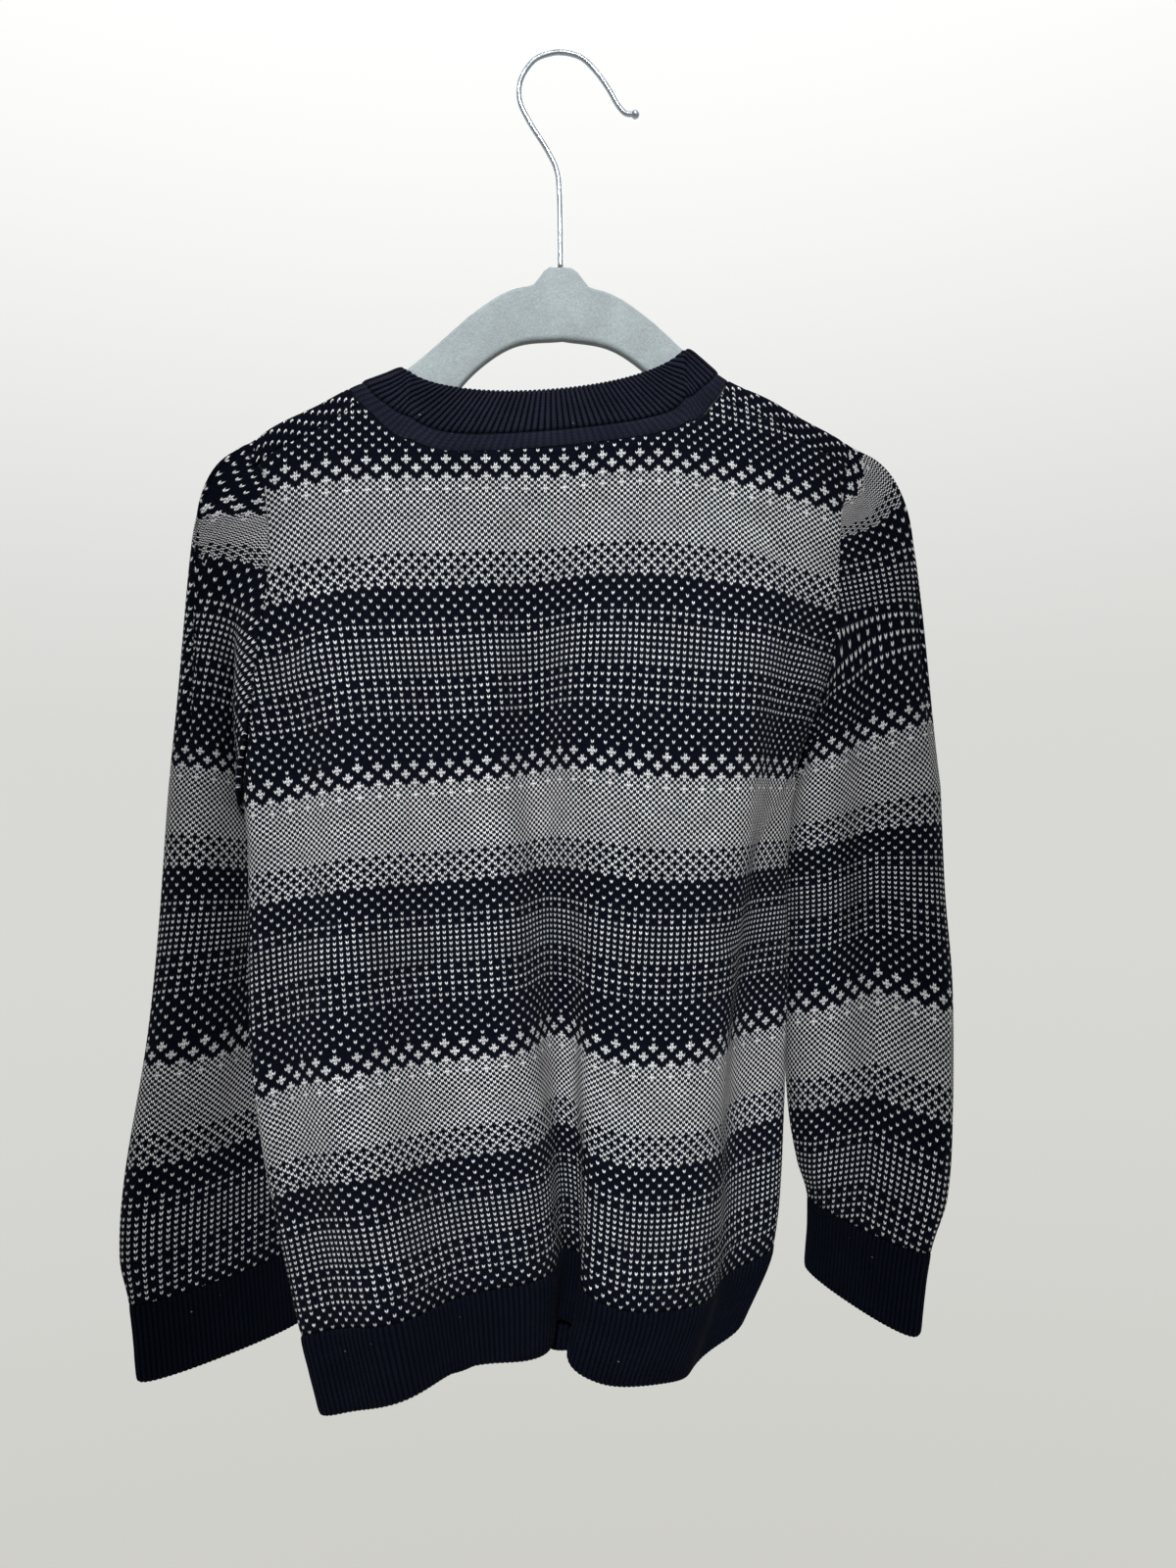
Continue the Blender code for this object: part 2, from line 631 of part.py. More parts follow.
def sleeve_ring(outer, inner, half_depth, groove, turns, under):
    """Flattened ring from its outer end round by the back to its inner end and on by the front."""
    outer, inner = Vector(outer), Vector(inner)
    middle, reach = (outer + inner) / 2, (outer - inner) / 2
    level = Vector((reach.x, reach.y, 0)).normalized()
    deep = Vector((level.y, -level.x, 0))
    if deep.y > 0:
        deep = -deep
    ring = []
    for k, turn in enumerate(turns):
        angle = math.pi * turn ** RING_SPREAD
        across = math.copysign(abs(math.cos(angle)) ** RING_ENDS, math.cos(angle))
        depth = half_depth * max(math.sin(angle), 0.0) ** RING_SIDES
        if k <= under:
            depth -= groove * hump((across - GROOVE_AT) / GROOVE_HALF)
        ring.append(middle + reach * across + deep * (depth if k <= under else -depth))
    return ring


def ring_at(stations, at):
    """Ring at a place along the sleeve, between its known rings."""
    return [spline(SLEEVE_KNOTS, [ring[k] for ring in stations], at) for k in range(len(stations[0]))]


def sleeve_rows(hand):
    """Rings of a sleeve from the armhole seam to the cuff seam, then those of its cuff."""
    seam, under = armhole_seam(hand)
    turns = ring_turns(seam, under)
    name = "left" if hand < 0 else "right"
    stations = [sleeve_ring(*row[1:], turns, under) for row in SLEEVES[name]]
    crest = [seam[0][0] + seam[0][1] * GAP]
    crest += [Vector((HANGER_X + hand * distance, 0, z)) for distance, z in CREST]
    crest += [stations[0][0]]
    crest_knots = [0.0]
    for a, b in zip(crest, crest[1:]):
        crest_knots.append(crest_knots[-1] + (b - a).length)
    rows = []
    for r in range(CAP_ROWS):
        t = (r / CAP_ROWS) ** CAP_CROWDING
        row = []
        for k, turn in enumerate(turns):
            start, leave = seam[k]
            low = smoothstep((turn - UNDERSIDE_FROM) / (UNDERSIDE_TO - UNDERSIDE_FROM))
            start = start + leave * (GAP + 0.05) + Vector((hand * UNDERSIDE_STEP * low, 0, 0))
            leave = (leave * (1 - low) + Vector((hand * UNDERSIDE_OUT, 0, UNDERSIDE_DOWN)) * low).normalized()
            goal = stations[0][k]
            reach = (goal - start).length
            arrive = (stations[1][k] - stations[0][k]).normalized() * reach
            leave = leave * max(reach * CAP_LEAD, LEAST_LEAD)
            point = (start * (2 * t ** 3 - 3 * t ** 2 + 1) + leave * (t ** 3 - 2 * t ** 2 + t)
                     + goal * (3 * t ** 2 - 2 * t ** 3) + arrive * (t ** 3 - t ** 2))
            if k == 0:
                pull = spline(crest_knots, crest, crest_knots[-1] * t) - point
            row.append(point + pull * hump(turn / CREST_REACH))
        rows.append(row)
    gap = GAP / KNOT_LENGTH
    for r in range(SLEEVE_ROWS + 1):
        at = CUFF_SEAM_KNOT * r / SLEEVE_ROWS - (gap if r == SLEEVE_ROWS else 0)
        rows.append(ring_at(stations, at))
    return rows, [ring_at(stations, at) for at in (CUFF_SEAM_KNOT + gap, SLEEVE_KNOTS[-1])]


# ---------------------------------------------------------------- pieces of the garment
def add_back(material):
    return add_sheet("back", [panel_grid(BACK)], material)


def add_front(material):
    return add_sheet("front", [panel_grid(FRONT), shoulder_grid(-1), shoulder_grid(1)], material)


def add_sleeve(hand, knit, rib):
    name = "left" if hand < 0 else "right"
    rows, cuff = sleeve_rows(hand)
    add_sheet("sleeve_" + name, [rows], knit, closed=True)
    add_ribbed_tube("cuff_" + name, cuff, CUFF_RIB_POINTS, rib)


def add_hem_band(material):
    start, end = SECTIONS["rib"][0] + HEM_SEAM_SHARE * GAP / COURSE, SECTIONS["hem"][0]
    rows = []
    for course in (start, end):
        ring = []
        for side in (BACK, FRONT):
            columns = len(TOP_EDGES[side]) - 1
            half = [cloth_point(side, body_wale(c / columns), course) for c in range(columns + 1)]
            ring += half if side == BACK else half[-2:0:-1]
        rows.append(ring)
    return add_ribbed_tube("hem_band", rows, HEM_RIB_POINTS, material)


def add_neckband(material):
    rows = []
    for share, outset in ((0.0, -SEAM_HALF_GAP), (0.5, 0.0), (1.0, 0.0)):
        back = [draped(BACK, *flat) for flat in neck_half(BACK, share, outset)]
        front = [draped(FRONT, *flat) for flat in neck_half(FRONT, share, outset)]
        rows.append(back + front[-2:0:-1])
    return add_ribbed_tube("neckband", rows, NECK_RIB_POINTS, material)


# ---------------------------------------------------------------- hanger
def hanger_section(x):
    """Rounded upright slice of the hanger at x."""
    top, bottom = hanger_top(x), hanger_bottom(x)
    stub = NECK_STUB[1] - top
    near = abs(x - HANGER_X)
    inner, outer = (share * NECK_STUB[0] for share in STUB_SLOPE)
    top += stub * (1 - smoothstep((near - inner) / (outer - inner)))
    half = HANGER_THICK / 2
    ring = []
    for middle, start in ((top - half, 0), (bottom + half, 180)):
        for k in range(5):
            angle = math.radians(start + 180 * k / 4)
            ring.append(Vector((x, half * math.cos(angle), middle + half * math.sin(angle))))
    return ring


def add_hanger_body(material):
    rings = []
    for k in range(HANGER_STATIONS + 1):
        even, eased = 2 * k / HANGER_STATIONS - 1, -math.cos(math.pi * k / HANGER_STATIONS)
        share = eased * END_CROWDING + even * (1 - END_CROWDING)
        rings.append(hanger_section(HANGER_X + (HANGER_END - 0.2) * share))
    size = len(rings[0])
    last = HANGER_STATIONS * size
    faces = [tuple(range(size)), tuple(reversed(range(last, last + size)))]
    for k in range(HANGER_STATIONS):
        for c in range(size):
            d = (c + 1) % size
            faces.append((k * size + c, (k + 1) * size + c, (k + 1) * size + d, k * size + d))
    item = add_object("hanger_body", [p for ring in rings for p in ring], faces, material)
    make_outward(item)
    return item


def add_hook(material):
    data = bpy.data.curves.new("hook_path", "CURVE")
    data.dimensions = "3D"
    data.bevel_depth = WIRE / 2 * MM
    data.bevel_resolution = 2
    data.use_fill_caps = True
    line = data.splines.new("POLY")
    knots = list(range(len(HOOK)))
    values = [Vector((x, 0, z)) for x, z in HOOK]
    values[0].z = NECK_STUB[1] + GAP
    steps = 2 * (len(HOOK) - 1)
    line.points.add(steps)
    for k in range(steps + 1):
        point = spline(knots, values, knots[-1] * k / steps) * MM
        line.points[k].co = (*point, 1)
    path = bpy.data.objects.new("hook_path", data)
    PARTS.objects.link(path)
    mesh = bpy.data.meshes.new_from_object(path.evaluated_get(bpy.context.evaluated_depsgraph_get()))
    bpy.data.objects.remove(path)
    shape = bmesh.new()
    shape.from_mesh(mesh)
    bmesh.ops.remove_doubles(shape, verts=shape.verts, dist=0.00001)
    shape.to_mesh(mesh)
    shape.free()
    mesh.name = "hanger_hook"
    mesh.materials.clear()
    mesh.materials.append(material)
    hook = bpy.data.objects.new("hanger_hook", mesh)
    PARTS.objects.link(hook)
    bpy.ops.mesh.primitive_uv_sphere_add(segments=12, ring_count=8, radius=HOOK_BALL * MM,
                                         location=Vector((HOOK[-1][0] + 1, 0, HOOK[-1][1])) * MM)
    ball = bpy.context.active_object
    ball.name = "hook_ball"
    for owner in ball.users_collection:
        owner.objects.unlink(ball)
    CUTTERS.objects.link(ball)
    ball.hide_render = True
    ball.display_type = "WIRE"
    join = hook.modifiers.new("ball tip", "BOOLEAN")
    join.operation = "UNION"
    join.object = ball
    return hook


for old in list(bpy.data.objects):
    bpy.data.objects.remove(old)
PARTS = make_collection("striped sweater")
CUTTERS = make_collection("helpers")
JACQUARD = make_material("jacquard knit", (0.20, 0.21, 0.23), 0.9)
RIB = make_material("navy rib", (0.012, 0.016, 0.028), 0.9)
FLOCK = make_material("grey flock", (0.40, 0.49, 0.52), 0.95)
STEEL = make_material("steel wire", (0.62, 0.68, 0.74), 0.3, metallic=1.0)

add_back(JACQUARD)
add_front(JACQUARD)
add_sleeve(-1, JACQUARD, RIB)
add_sleeve(1, JACQUARD, RIB)
add_hem_band(RIB)
add_neckband(RIB)
add_hanger_body(FLOCK)
add_hook(STEEL)
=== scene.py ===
# %% [markdown]
# # A striped sweater on its hanger
#
# A child's crew-neck sweater in navy and off-white jacquard hangs on a flocked hanger,
# seen from behind. Knitted cloth is a good lesson in working from counts: a knitter does not
# measure a sweater, but counts wales (the upright columns of stitches) and courses (the rows).
# This scene does the same. Every point of the cloth is found from its wale and its course,
# and the same two counts are its UV coordinates, so that the pattern is knitted into the
# cloth and follows each fold by itself.

# %% Load the frame
import functools
import math

import bmesh
import bpy
from mathutils import Matrix, Vector, noise


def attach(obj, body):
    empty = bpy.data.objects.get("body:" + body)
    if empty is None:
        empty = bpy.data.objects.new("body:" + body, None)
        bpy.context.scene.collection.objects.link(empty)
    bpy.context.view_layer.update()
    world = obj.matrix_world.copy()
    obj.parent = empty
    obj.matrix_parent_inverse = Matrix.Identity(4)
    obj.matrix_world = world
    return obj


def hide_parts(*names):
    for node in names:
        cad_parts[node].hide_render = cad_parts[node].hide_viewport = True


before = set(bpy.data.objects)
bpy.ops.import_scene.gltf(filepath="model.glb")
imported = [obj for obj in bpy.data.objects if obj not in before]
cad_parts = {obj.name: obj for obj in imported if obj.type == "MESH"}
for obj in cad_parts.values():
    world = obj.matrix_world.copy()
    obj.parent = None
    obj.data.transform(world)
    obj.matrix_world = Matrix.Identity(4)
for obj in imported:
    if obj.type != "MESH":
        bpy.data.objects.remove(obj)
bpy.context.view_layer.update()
print("nodes in the frame:", ", ".join(sorted(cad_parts)))

# %% [markdown]
# ## The camera
#
# The picture was taken with a phone held a little below the middle of the sweater and tipped
# up. The camera's place and its three tilts were found from the hanger's and the garment's known
# sizes. The lens is given as pixels of focal length over pixels of picture height, which is how
# a camera is described when its sensor is not known.

# %% Place the camera
MM = 0.001
PICTURE_HEIGHT = 1600
FOCAL_PIXELS = 1202
SENSOR = 24.0
CAMERA_PLACE = Vector((-82.8, -579.1, -452.7)) * MM
CAMERA_YAW, CAMERA_PITCH, CAMERA_ROLL = 8.0, 6.0, 1.9


def place_camera():
    lens = bpy.data.cameras.new("camera")
    lens.sensor_fit = "VERTICAL"
    lens.sensor_height = SENSOR
    lens.sensor_width = SENSOR
    lens.lens = SENSOR * FOCAL_PIXELS / PICTURE_HEIGHT
    lens.clip_start = 0.01
    camera = bpy.data.objects.new("camera", lens)
    bpy.context.scene.collection.objects.link(camera)
    level = Matrix.Rotation(math.radians(-CAMERA_YAW), 3, "Z")
    tipped = level @ Matrix.Rotation(math.radians(90 + CAMERA_PITCH), 3, "X")
    turned = tipped @ Matrix.Rotation(math.radians(-CAMERA_ROLL), 3, "Z")
    camera.matrix_world = Matrix.Translation(CAMERA_PLACE) @ turned.to_4x4()
    bpy.context.scene.camera = camera
    return camera


camera = place_camera()
view_line = camera.matrix_world.to_3x3() @ Vector((0, 0, -1))
print("camera looks along", [round(c, 4) for c in view_line])

# %% [markdown]
# ## The sweater's sizes
#
# These are the sizes that a knitter would write down, in millimetres, wales and courses. A body
# panel has 240 wales, from side seam to side seam. The courses are counted down from the first
# row of stars. At five heights the table gives the stitches' width and where the left side seam
# hangs. The hanger stretches the yoke, so its wales are the widest.

# %% State the garment's sizes
WALL = 2.0                # thickness of the knit
GAP = 0.3                 # between two pieces at a seam
SEAM_HALF_GAP = 0.24      # how far each side of the neck's and shoulders' seams draws back
STITCH = 1.5              # a course's height, and a wale's width before it is stretched
STAR = 6                  # wales from one star to the next
HALF_WALES = 120          # from the middle of a panel to its side seam
EDGE_STAR = -1.0          # the left side seam's place, counted in stars
YOKE_X = -10.0            # the panels' middle on the hanger
YOKE_WALE = 1.63          # a wale's width there
BACK, FRONT = -1, 1
SIDE_NAMES = {BACK: "back", FRONT: "front"}

HANGER_X = -7.0
HANGER_THICK = 6.0
AIR = 0.25                # room that the cloth keeps over the hanger, beyond the gap
REST = GAP + WALL / 2 + AIR
BEND = HANGER_THICK / 2 + REST
QUARTER = BEND * math.pi / 2
STAND_OFF = 3.7           # how far the cloth stands off below its turn over the hanger,
STAND_OFF_OVER = 25.0     # and over what length it gets there
SEAM_BACK = 17.0          # from the fold-over line down to the front's seam on the back

LEVELS = ("yoke", "chest", "waist", "rib", "hem")
SECTIONS = {
    # name    course     z    wale  seam_x  seam_y
    "yoke":  (0,      -226, 1.63,   -206,     -8),
    "chest": (98,     -379, 1.49,   -165,     -6),
    "waist": (196,    -514, 1.46,   -158,    -30),
    "rib":   (287,    -628, 1.36,   -138,    -34),
    "hem":   (313,    -662, 1.22,   -130,    -36),
}
ARMHOLE = ((-60, 95), (-12, 92.2), (2, 90.2), (16, 89.8), (30, 91.5), (45, 95.5), (60, 100),
           (75, 104), (88, 108), (97, 112.5), (102, 116.5), (104, 120))
UNDERARM = 104
print("body panel:", 2 * HALF_WALES, "wales,", SECTIONS["rib"][0], "courses from stars to rib")

# %% [markdown]
# ## The folds
#
# Cloth that hangs from a hanger is straight across at the shoulders and folds more and more
# towards the hem. A fold is written here as a turn: over a stretch of wales the cloth turns
# away from straight across by some degrees, and then back. Walking across the panel wale by
# wale with those turns gives the curve of the hem as seen from below. Folds made this way
# keep the cloth's width, as real cloth does, which moving points back and forth does not.

# %% State the folds
# Each level of a fold has the fold's middle and half width, in stars, and its turn in degrees.
BACK_FOLDS = (
    # name            chest              waist              rib                hem
    ("left edge",   (-1.0, 3.6, -100), (-1.0, 2.4, -100), (-1.0, 2.6, -100), (-1.0, 2.6, -100)),
    ("left step",   (4.9, 2.4, -40),   (3.2, 3.0, -48),   (3.2, 3.2, -40),   (3.2, 3.2, -30)),
    ("left field",  (9.6, 4.6, 26),    (8.0, 4.4, 40),    (8.0, 4.4, 44),    (8.0, 4.4, 44)),
    ("valley in",   (16.2, 2.4, 50),   (17.0, 4.4, 62),   (16.8, 4.6, 76),   (16.8, 4.6, 80)),
    ("valley out",  (18.8, 3.2, -58),  (20.4, 2.6, -84),  (20.6, 2.8, -118), (20.6, 2.8, -130)),
    ("ridge fall",  (31.5, 3.8, 56),   (31.2, 5.2, 70),   (31.2, 5.2, 66),   (31.2, 5.2, 66)),
    ("right edge",  (38.4, 6.4, 98),   (39.0, 4.2, 95),   (39.0, 4.2, 95),   (39.0, 4.2, 95)),
)
FRONT_FOLDS = (
    ("left edge",   (-1.0, 3.2, 80),   (-1.0, 2.6, 80),   (-1.0, 2.6, 80),   (-1.0, 2.6, 80)),
    ("left wave",   (6.0, 3.4, -34),   (5.5, 3.4, -24),   (5.5, 3.4, -22),   (5.5, 3.4, -22)),
    ("left swell",  (11.5, 3.6, 42),   (11.0, 4.0, 58),   (11.0, 4.0, 60),   (11.0, 4.0, 60)),
    ("mid wave",    (17.5, 3.6, -38),  (17.5, 3.6, -50),  (17.5, 3.6, -52),  (17.5, 3.6, -52)),
    ("mid swell",   (23.5, 3.6, 44),   (23.5, 3.8, 62),   (23.5, 3.8, 64),   (23.5, 3.8, 64)),
    ("right wave",  (30.0, 3.6, -36),  (30.0, 3.6, -46),  (30.0, 3.6, -48),  (30.0, 3.6, -48)),
    ("right edge",  (38.8, 4.8, -85),  (39.0, 3.4, -85),  (39.0, 3.4, -85),  (39.0, 3.4, -85)),
)
FOLDS = {BACK: BACK_FOLDS, FRONT: FRONT_FOLDS}
EASE_START = 0.25         # share of a half panel, from the left seam, that the easing leaves alone
print(len(BACK_FOLDS), "folds behind,", len(FRONT_FOLDS), "in front")

# %% [markdown]
# The stripes droop, too: the hanger holds the cloth up at some wales and lets it sag at others.
# This table lifts the five heights by a few millimetres at named wales.

# %% State the droop of the stripes
LEFT_SEAM = ("left seam", -120, -30, -13, -10, -4, -2)
RIGHT_SEAM = ("right seam", 120, -32, 0, 9, 6, 8)
LIFTS = {
    BACK: (
        # name          wale  yoke chest waist rib hem
        LEFT_SEAM,
        ("left strip",   -96, -17, -10,   0,   4,   4),
        ("left field",   -66,  -7,  -5,   4,   8,  12),
        ("mid left",     -24,  -3,   0,   6,  12,  12),
        ("valley",        -3,  -1,   4,  11,  16,  18),
        ("right field",   30,   5,  -1,  -2,  -6,  -4),
        ("ridge",         54,   0,  -3,  -2,  -8,  -7),
        ("right hollow",  84, -13,  -1,   4,  -6, -10),
        RIGHT_SEAM,
    ),
    FRONT: (
        LEFT_SEAM,
        ("left half",    -60,  -6,  -4,   0,   6,   8),
        ("middle",         0,   0,   0,   2,   2,   2),
        ("right half",    60,  -3,   0,   2,   2,   2),
        RIGHT_SEAM,
    ),
}
drops = [row[2] for row in LIFTS[BACK]]
print("first stars rise and fall by", max(drops) - min(drops), "mm")

# %% [markdown]
# The neck lies on the slope of the hanger, so its seam is no plain oval. A table says how much
# cloth hangs between the fold-over line and the seam, across the neck's half width. The rim
# above it is half an oval. The hanger's own table has its upper and lower edge.

# %% State the neck and the hanger
NECK_X, NECK_HALF = -18.5, 99.0
NECK_SEAM = {
    BACK: (
        # across   drop (mm)
        (-1.00,      0.0),
        (-0.94,     12.5),
        (-0.87,     22.5),
        (-0.80,     33.0),
        (-0.70,     44.5),
        (-0.58,     51.5),
        (-0.40,     55.5),
        (0.00,      57.5),
        (0.40,      56.0),
        (0.60,      53.5),
        (0.73,      49.5),
        (0.82,      38.5),
        (0.89,      24.0),
        (0.95,      11.5),
        (1.00,       0.0),
    ),
    FRONT: (
        (-1.00,      0.0),
        (-0.97,     30.0),
        (-0.88,     57.0),
        (-0.70,     83.0),
        (-0.40,    103.0),
        (0.00,     112.0),
        (0.40,     103.0),
        (0.70,      83.0),
        (0.88,      57.0),
        (0.97,      30.0),
        (1.00,       0.0),
    ),
}
RIM_X, RIM_HALF = -15.5, 74.5
RIM_DROP = {BACK: 27.0, FRONT: 84.0}
RIM_REST = 4.0            # how far inside its ends the rim rests on the hanger
NECK_STAND = 5.0          # how far the neck stands off the hanger,
NECK_STAND_OVER = 14.0    # and over what length it gets there
HANGER = (
          # from the middle, upper edge, lower edge
          (0, -129.5, -160), (25, -133, -164), (45, -146, -178), (66, -165.5, -202),
          (83, -180, -214), (107, -191, -224), (124, -201, -233), (146, -213, -243),
          (158, -224, -251), (165, -236, -255), (169, -248, -255))
HANGER_END = 169.0
print("neck:", 2 * NECK_HALF, "mm wide; hanger:", 2 * HANGER_END, "mm")

# %% [markdown]
# ## Finding a point of the cloth
#
# Between the five heights the cloth follows smooth curves. `cloth_point` is the heart of the
# scene: a panel, a wale and a course go in, and the place of that stitch comes out. Above the
# first stars the cloth lies on the hanger, so there the place is worked out from the hanger's
# top edge instead: a quarter turn over the edge, then a fall that stands off a little.

# %% Curves
def hump(t):
    return 0.5 + 0.5 * math.cos(math.pi * t) if abs(t) < 1 else 0.0


def smoothstep(t):
    t = min(max(t, 0.0), 1.0)
    return t * t * (3 - 2 * t)


def cubic(start, leave, goal, arrive, t, span=1):
    """Curve from start to goal over a span, that leaves and arrives with the given slopes."""
    return (start * (2 * t ** 3 - 3 * t ** 2 + 1) + leave * (span * (t ** 3 - 2 * t ** 2 + t))
            + goal * (3 * t ** 2 - 2 * t ** 3) + arrive * (span * (t ** 3 - t ** 2)))


def spline(knots, values, at, start_slope=None):
    """Smooth curve through values at rising knots; values are numbers or Vectors."""
    last = len(knots) - 1
    at = min(max(at, knots[0]), knots[-1])
    k = 0
    while k < last - 1 and at > knots[k + 1]:
        k += 1

    def slope(j):
        if j == 0 and start_slope is not None:
            return start_slope
        low, high = max(j - 1, 0), min(j + 1, last)
        return (values[high] - values[low]) / (knots[high] - knots[low])

    span = knots[k + 1] - knots[k]
    return cubic(values[k], slope(k), values[k + 1], slope(k + 1), (at - knots[k]) / span, span)


def column_of(rows, index):
    return [row[index] for row in rows]


print("half way up a smooth step:", smoothstep(0.5))


# %% The hanger's edge and the cloth's fold over it
def hanger_edge(x, index):
    """Height of the hanger's upper (1) or lower (2) edge."""
    distance = min(abs(x - HANGER_X), HANGER_END)
    return spline(column_of(HANGER, 0), column_of(HANGER, index), distance)


@functools.lru_cache(None)
def cloth_over_hanger(x):
    slope = (hanger_edge(x + 1, 1) - hanger_edge(x - 1, 1)) / 2
    return hanger_edge(x, 1) + REST * math.sqrt(1 + slope ** 2)


def fold_over(x):
    """Height of the line where the cloth turns from back to front."""
    left, right = RIM_X - RIM_HALF + RIM_REST, RIM_X + RIM_HALF - RIM_REST
    if left < x < right:
        share = (x - left) / (right - left)
        return (1 - share) * cloth_over_hanger(left) + share * cloth_over_hanger(right)
    return cloth_over_hanger(x)


print("cloth turns over the hanger at", round(fold_over(HANGER_X), 1), "mm, between the rim's ends")


# %% Plans of the panels at each height
def lift(side, wale, level):
    rows = LIFTS[side]
    return spline(column_of(rows, 1), column_of(rows, 2 + level), wale)


def heading(side, star, level):
    turns = (fold[level] for fold in FOLDS[side])
    return math.radians(sum(turn * hump((star - middle) / half) for middle, half, turn in turns))


def walk(side, level):
    _, _, wale_width, x, y = SECTIONS[LEVELS[level]]
    points = [(x, y)]
    for step in range(2 * HALF_WALES):
        angle = heading(side, EDGE_STAR + (step + 0.5) / STAR, level)
        x += wale_width * math.cos(angle)
        y += wale_width * math.sin(angle)
        points.append((x, y))
    return points


def make_plans():
    plans = {}
    for level in range(1, len(LEVELS)):
        back, front = walk(BACK, level), walk(FRONT, level)
        off_x, off_y = back[-1][0] - front[-1][0], back[-1][1] - front[-1][1]
        share = [smoothstep((k / HALF_WALES - EASE_START) / (2 - EASE_START))
                 for k in range(2 * HALF_WALES + 1)]
        plans[BACK, level] = back
        plans[FRONT, level] = [(x + off_x * s, y + off_y * s) for (x, y), s in zip(front, share)]
    return plans


PLANS = make_plans()


def plan_point(side, level, wale):
    points = PLANS[side, level]
    at = min(max(wale + HALF_WALES, 0), 2 * HALF_WALES)
    k = min(int(at), 2 * HALF_WALES - 1)
    return [(1 - at + k) * a + (at - k) * b for a, b in zip(points[k], points[k + 1])]


hem_plan = PLANS[BACK, len(LEVELS) - 1]
print("hem's plan runs from x =", round(hem_plan[0][0]), "to", round(hem_plan[-1][0]), "mm")


# %% The cloth's own points
LEAST_YOKE = 25.0         # least length of cloth from the fold-over line to the first stars
SIDE_TURN = 98            # the wale from which the yoke turns in to the side seam


def draped(side, x, cloth):
    """Point of the yoke after some length of cloth below the fold-over line."""
    sign = 1 if cloth >= 0 else -1
    length = abs(cloth)
    turn = min(length, QUARTER) / BEND
    y, fall = BEND * math.sin(turn), BEND * (1 - math.cos(turn))
    if length > QUARTER:
        y += STAND_OFF * (1 - math.exp((QUARTER - length) / STAND_OFF_OVER))
        fall += length - QUARTER
        y += (NECK_STAND * hump((x - NECK_X) / NECK_HALF)
              * smoothstep((length - QUARTER) / NECK_STAND_OVER))
    return Vector((x, side * sign * y, fold_over(x) - fall))


@functools.lru_cache(None)
def yoke_cloth(side, wale):
    """Length of cloth from the fold-over line to the first stars."""
    x = YOKE_X + wale * YOKE_WALE
    row_z = SECTIONS["yoke"][1] + lift(side, wale, 0)
    return max(fold_over(x) - row_z - BEND + QUARTER, LEAST_YOKE)


@functools.lru_cache(None)
def level_point(side, wale, level):
    if level == 0:
        point = draped(side, YOKE_X + wale * YOKE_WALE, yoke_cloth(side, wale))
        point.y *= 1 - smoothstep((abs(wale) - SIDE_TURN) / (HALF_WALES - SIDE_TURN))
        point.z = SECTIONS["yoke"][1] + lift(side, wale, 0)
        return point
    x, y = plan_point(side, level, wale)
    return Vector((x, y, SECTIONS[LEVELS[level]][1] + lift(side, wale, level)))


def cloth_point(side, wale, course):
    """Middle of the knit of a body panel, at a wale and a course."""
    if course <= 0:
        return draped(side, YOKE_X + wale * YOKE_WALE, yoke_cloth(side, wale) + STITCH * course)
    knots = [SECTIONS[name][0] for name in LEVELS]
    values = [level_point(side, wale, level) for level in range(len(LEVELS))]
    return spline(knots, values, course, start_slope=Vector((0, 0, -STITCH)))


def course_at(side, wale, cloth):
    return (cloth - yoke_cloth(side, wale)) / STITCH


def flat_point(side, x, cloth):
    """Wale and course of a point of the yoke."""
    wale = (x - YOKE_X) / YOKE_WALE
    return Vector((wale, course_at(side, wale, cloth)))


print("centre back, first stars:", [round(c) for c in cloth_point(BACK, 0, 0)])

# %% [markdown]
# ## The outline of a panel
#
# A body panel is shaped by the knitter along the neck, the shoulder and the armholes. The neck's
# seam and the armholes are short tables. A grid of points is then spread between these edges:
# each point mixes the four edges by its shares across and down. It could be a flat grid trimmed
# with a cutter, but then the edges would be stepped. A grid that ends on the seam lines gives
# clean seams and lets neighbouring pieces share them.

# %% State how finely the cloth is divided
NEAR_STEPS = 10           # in the cloth near the fold-over line
NEAR_CLOTH = {BACK: SEAM_BACK, FRONT: 12.0}
SHOULDER_COLUMNS = 18
NECK_COLUMNS = {BACK: 84, FRONT: 100}
NECK_SAMPLES = 400
TOP_ROWS = 56             # above the underarm
BODY_ROWS = 84            # below it
CROWDING = 0.5            # how much closer together the columns are at the side seams
print("rows of a panel:", TOP_ROWS + BODY_ROWS + 1)


# %% The neck's half rings
def evenly(start, end, steps):
    return [start + (end - start) * k / steps for k in range(steps + 1)]


def near_fold(side):
    """Lengths of cloth from the fold-over line at which the pieces near it are divided."""
    return evenly(0.0, NEAR_CLOTH[side], NEAR_STEPS)


def neck_chain(side, share, outset=0.0):
    """Half ring of the neckband from left to right fold-over, as x and cloth length;
    share runs from the seam (0) to the rim (1), and the outset moves the seam outwards."""
    chain, seam = [], NECK_SEAM[side]
    for turn in evenly(0, math.pi, NECK_SAMPLES):
        across, depth = -math.cos(turn), math.sin(turn)
        seam_x, rim_x = NECK_X + (NECK_HALF + outset) * across, RIM_X + RIM_HALF * across
        seam_drop = spline(column_of(seam, 0), column_of(seam, 1), across) + outset * depth
        rim_drop = RIM_DROP[side] * depth
        chain.append(Vector(((1 - share) * seam_x + share * rim_x,
                             (1 - share) * seam_drop + share * rim_drop)))
    return chain


def lengths_along(chain):
    lengths = [0.0]
    for a, b in zip(chain, chain[1:]):
        lengths.append(lengths[-1] + (b - a).length)
    return lengths


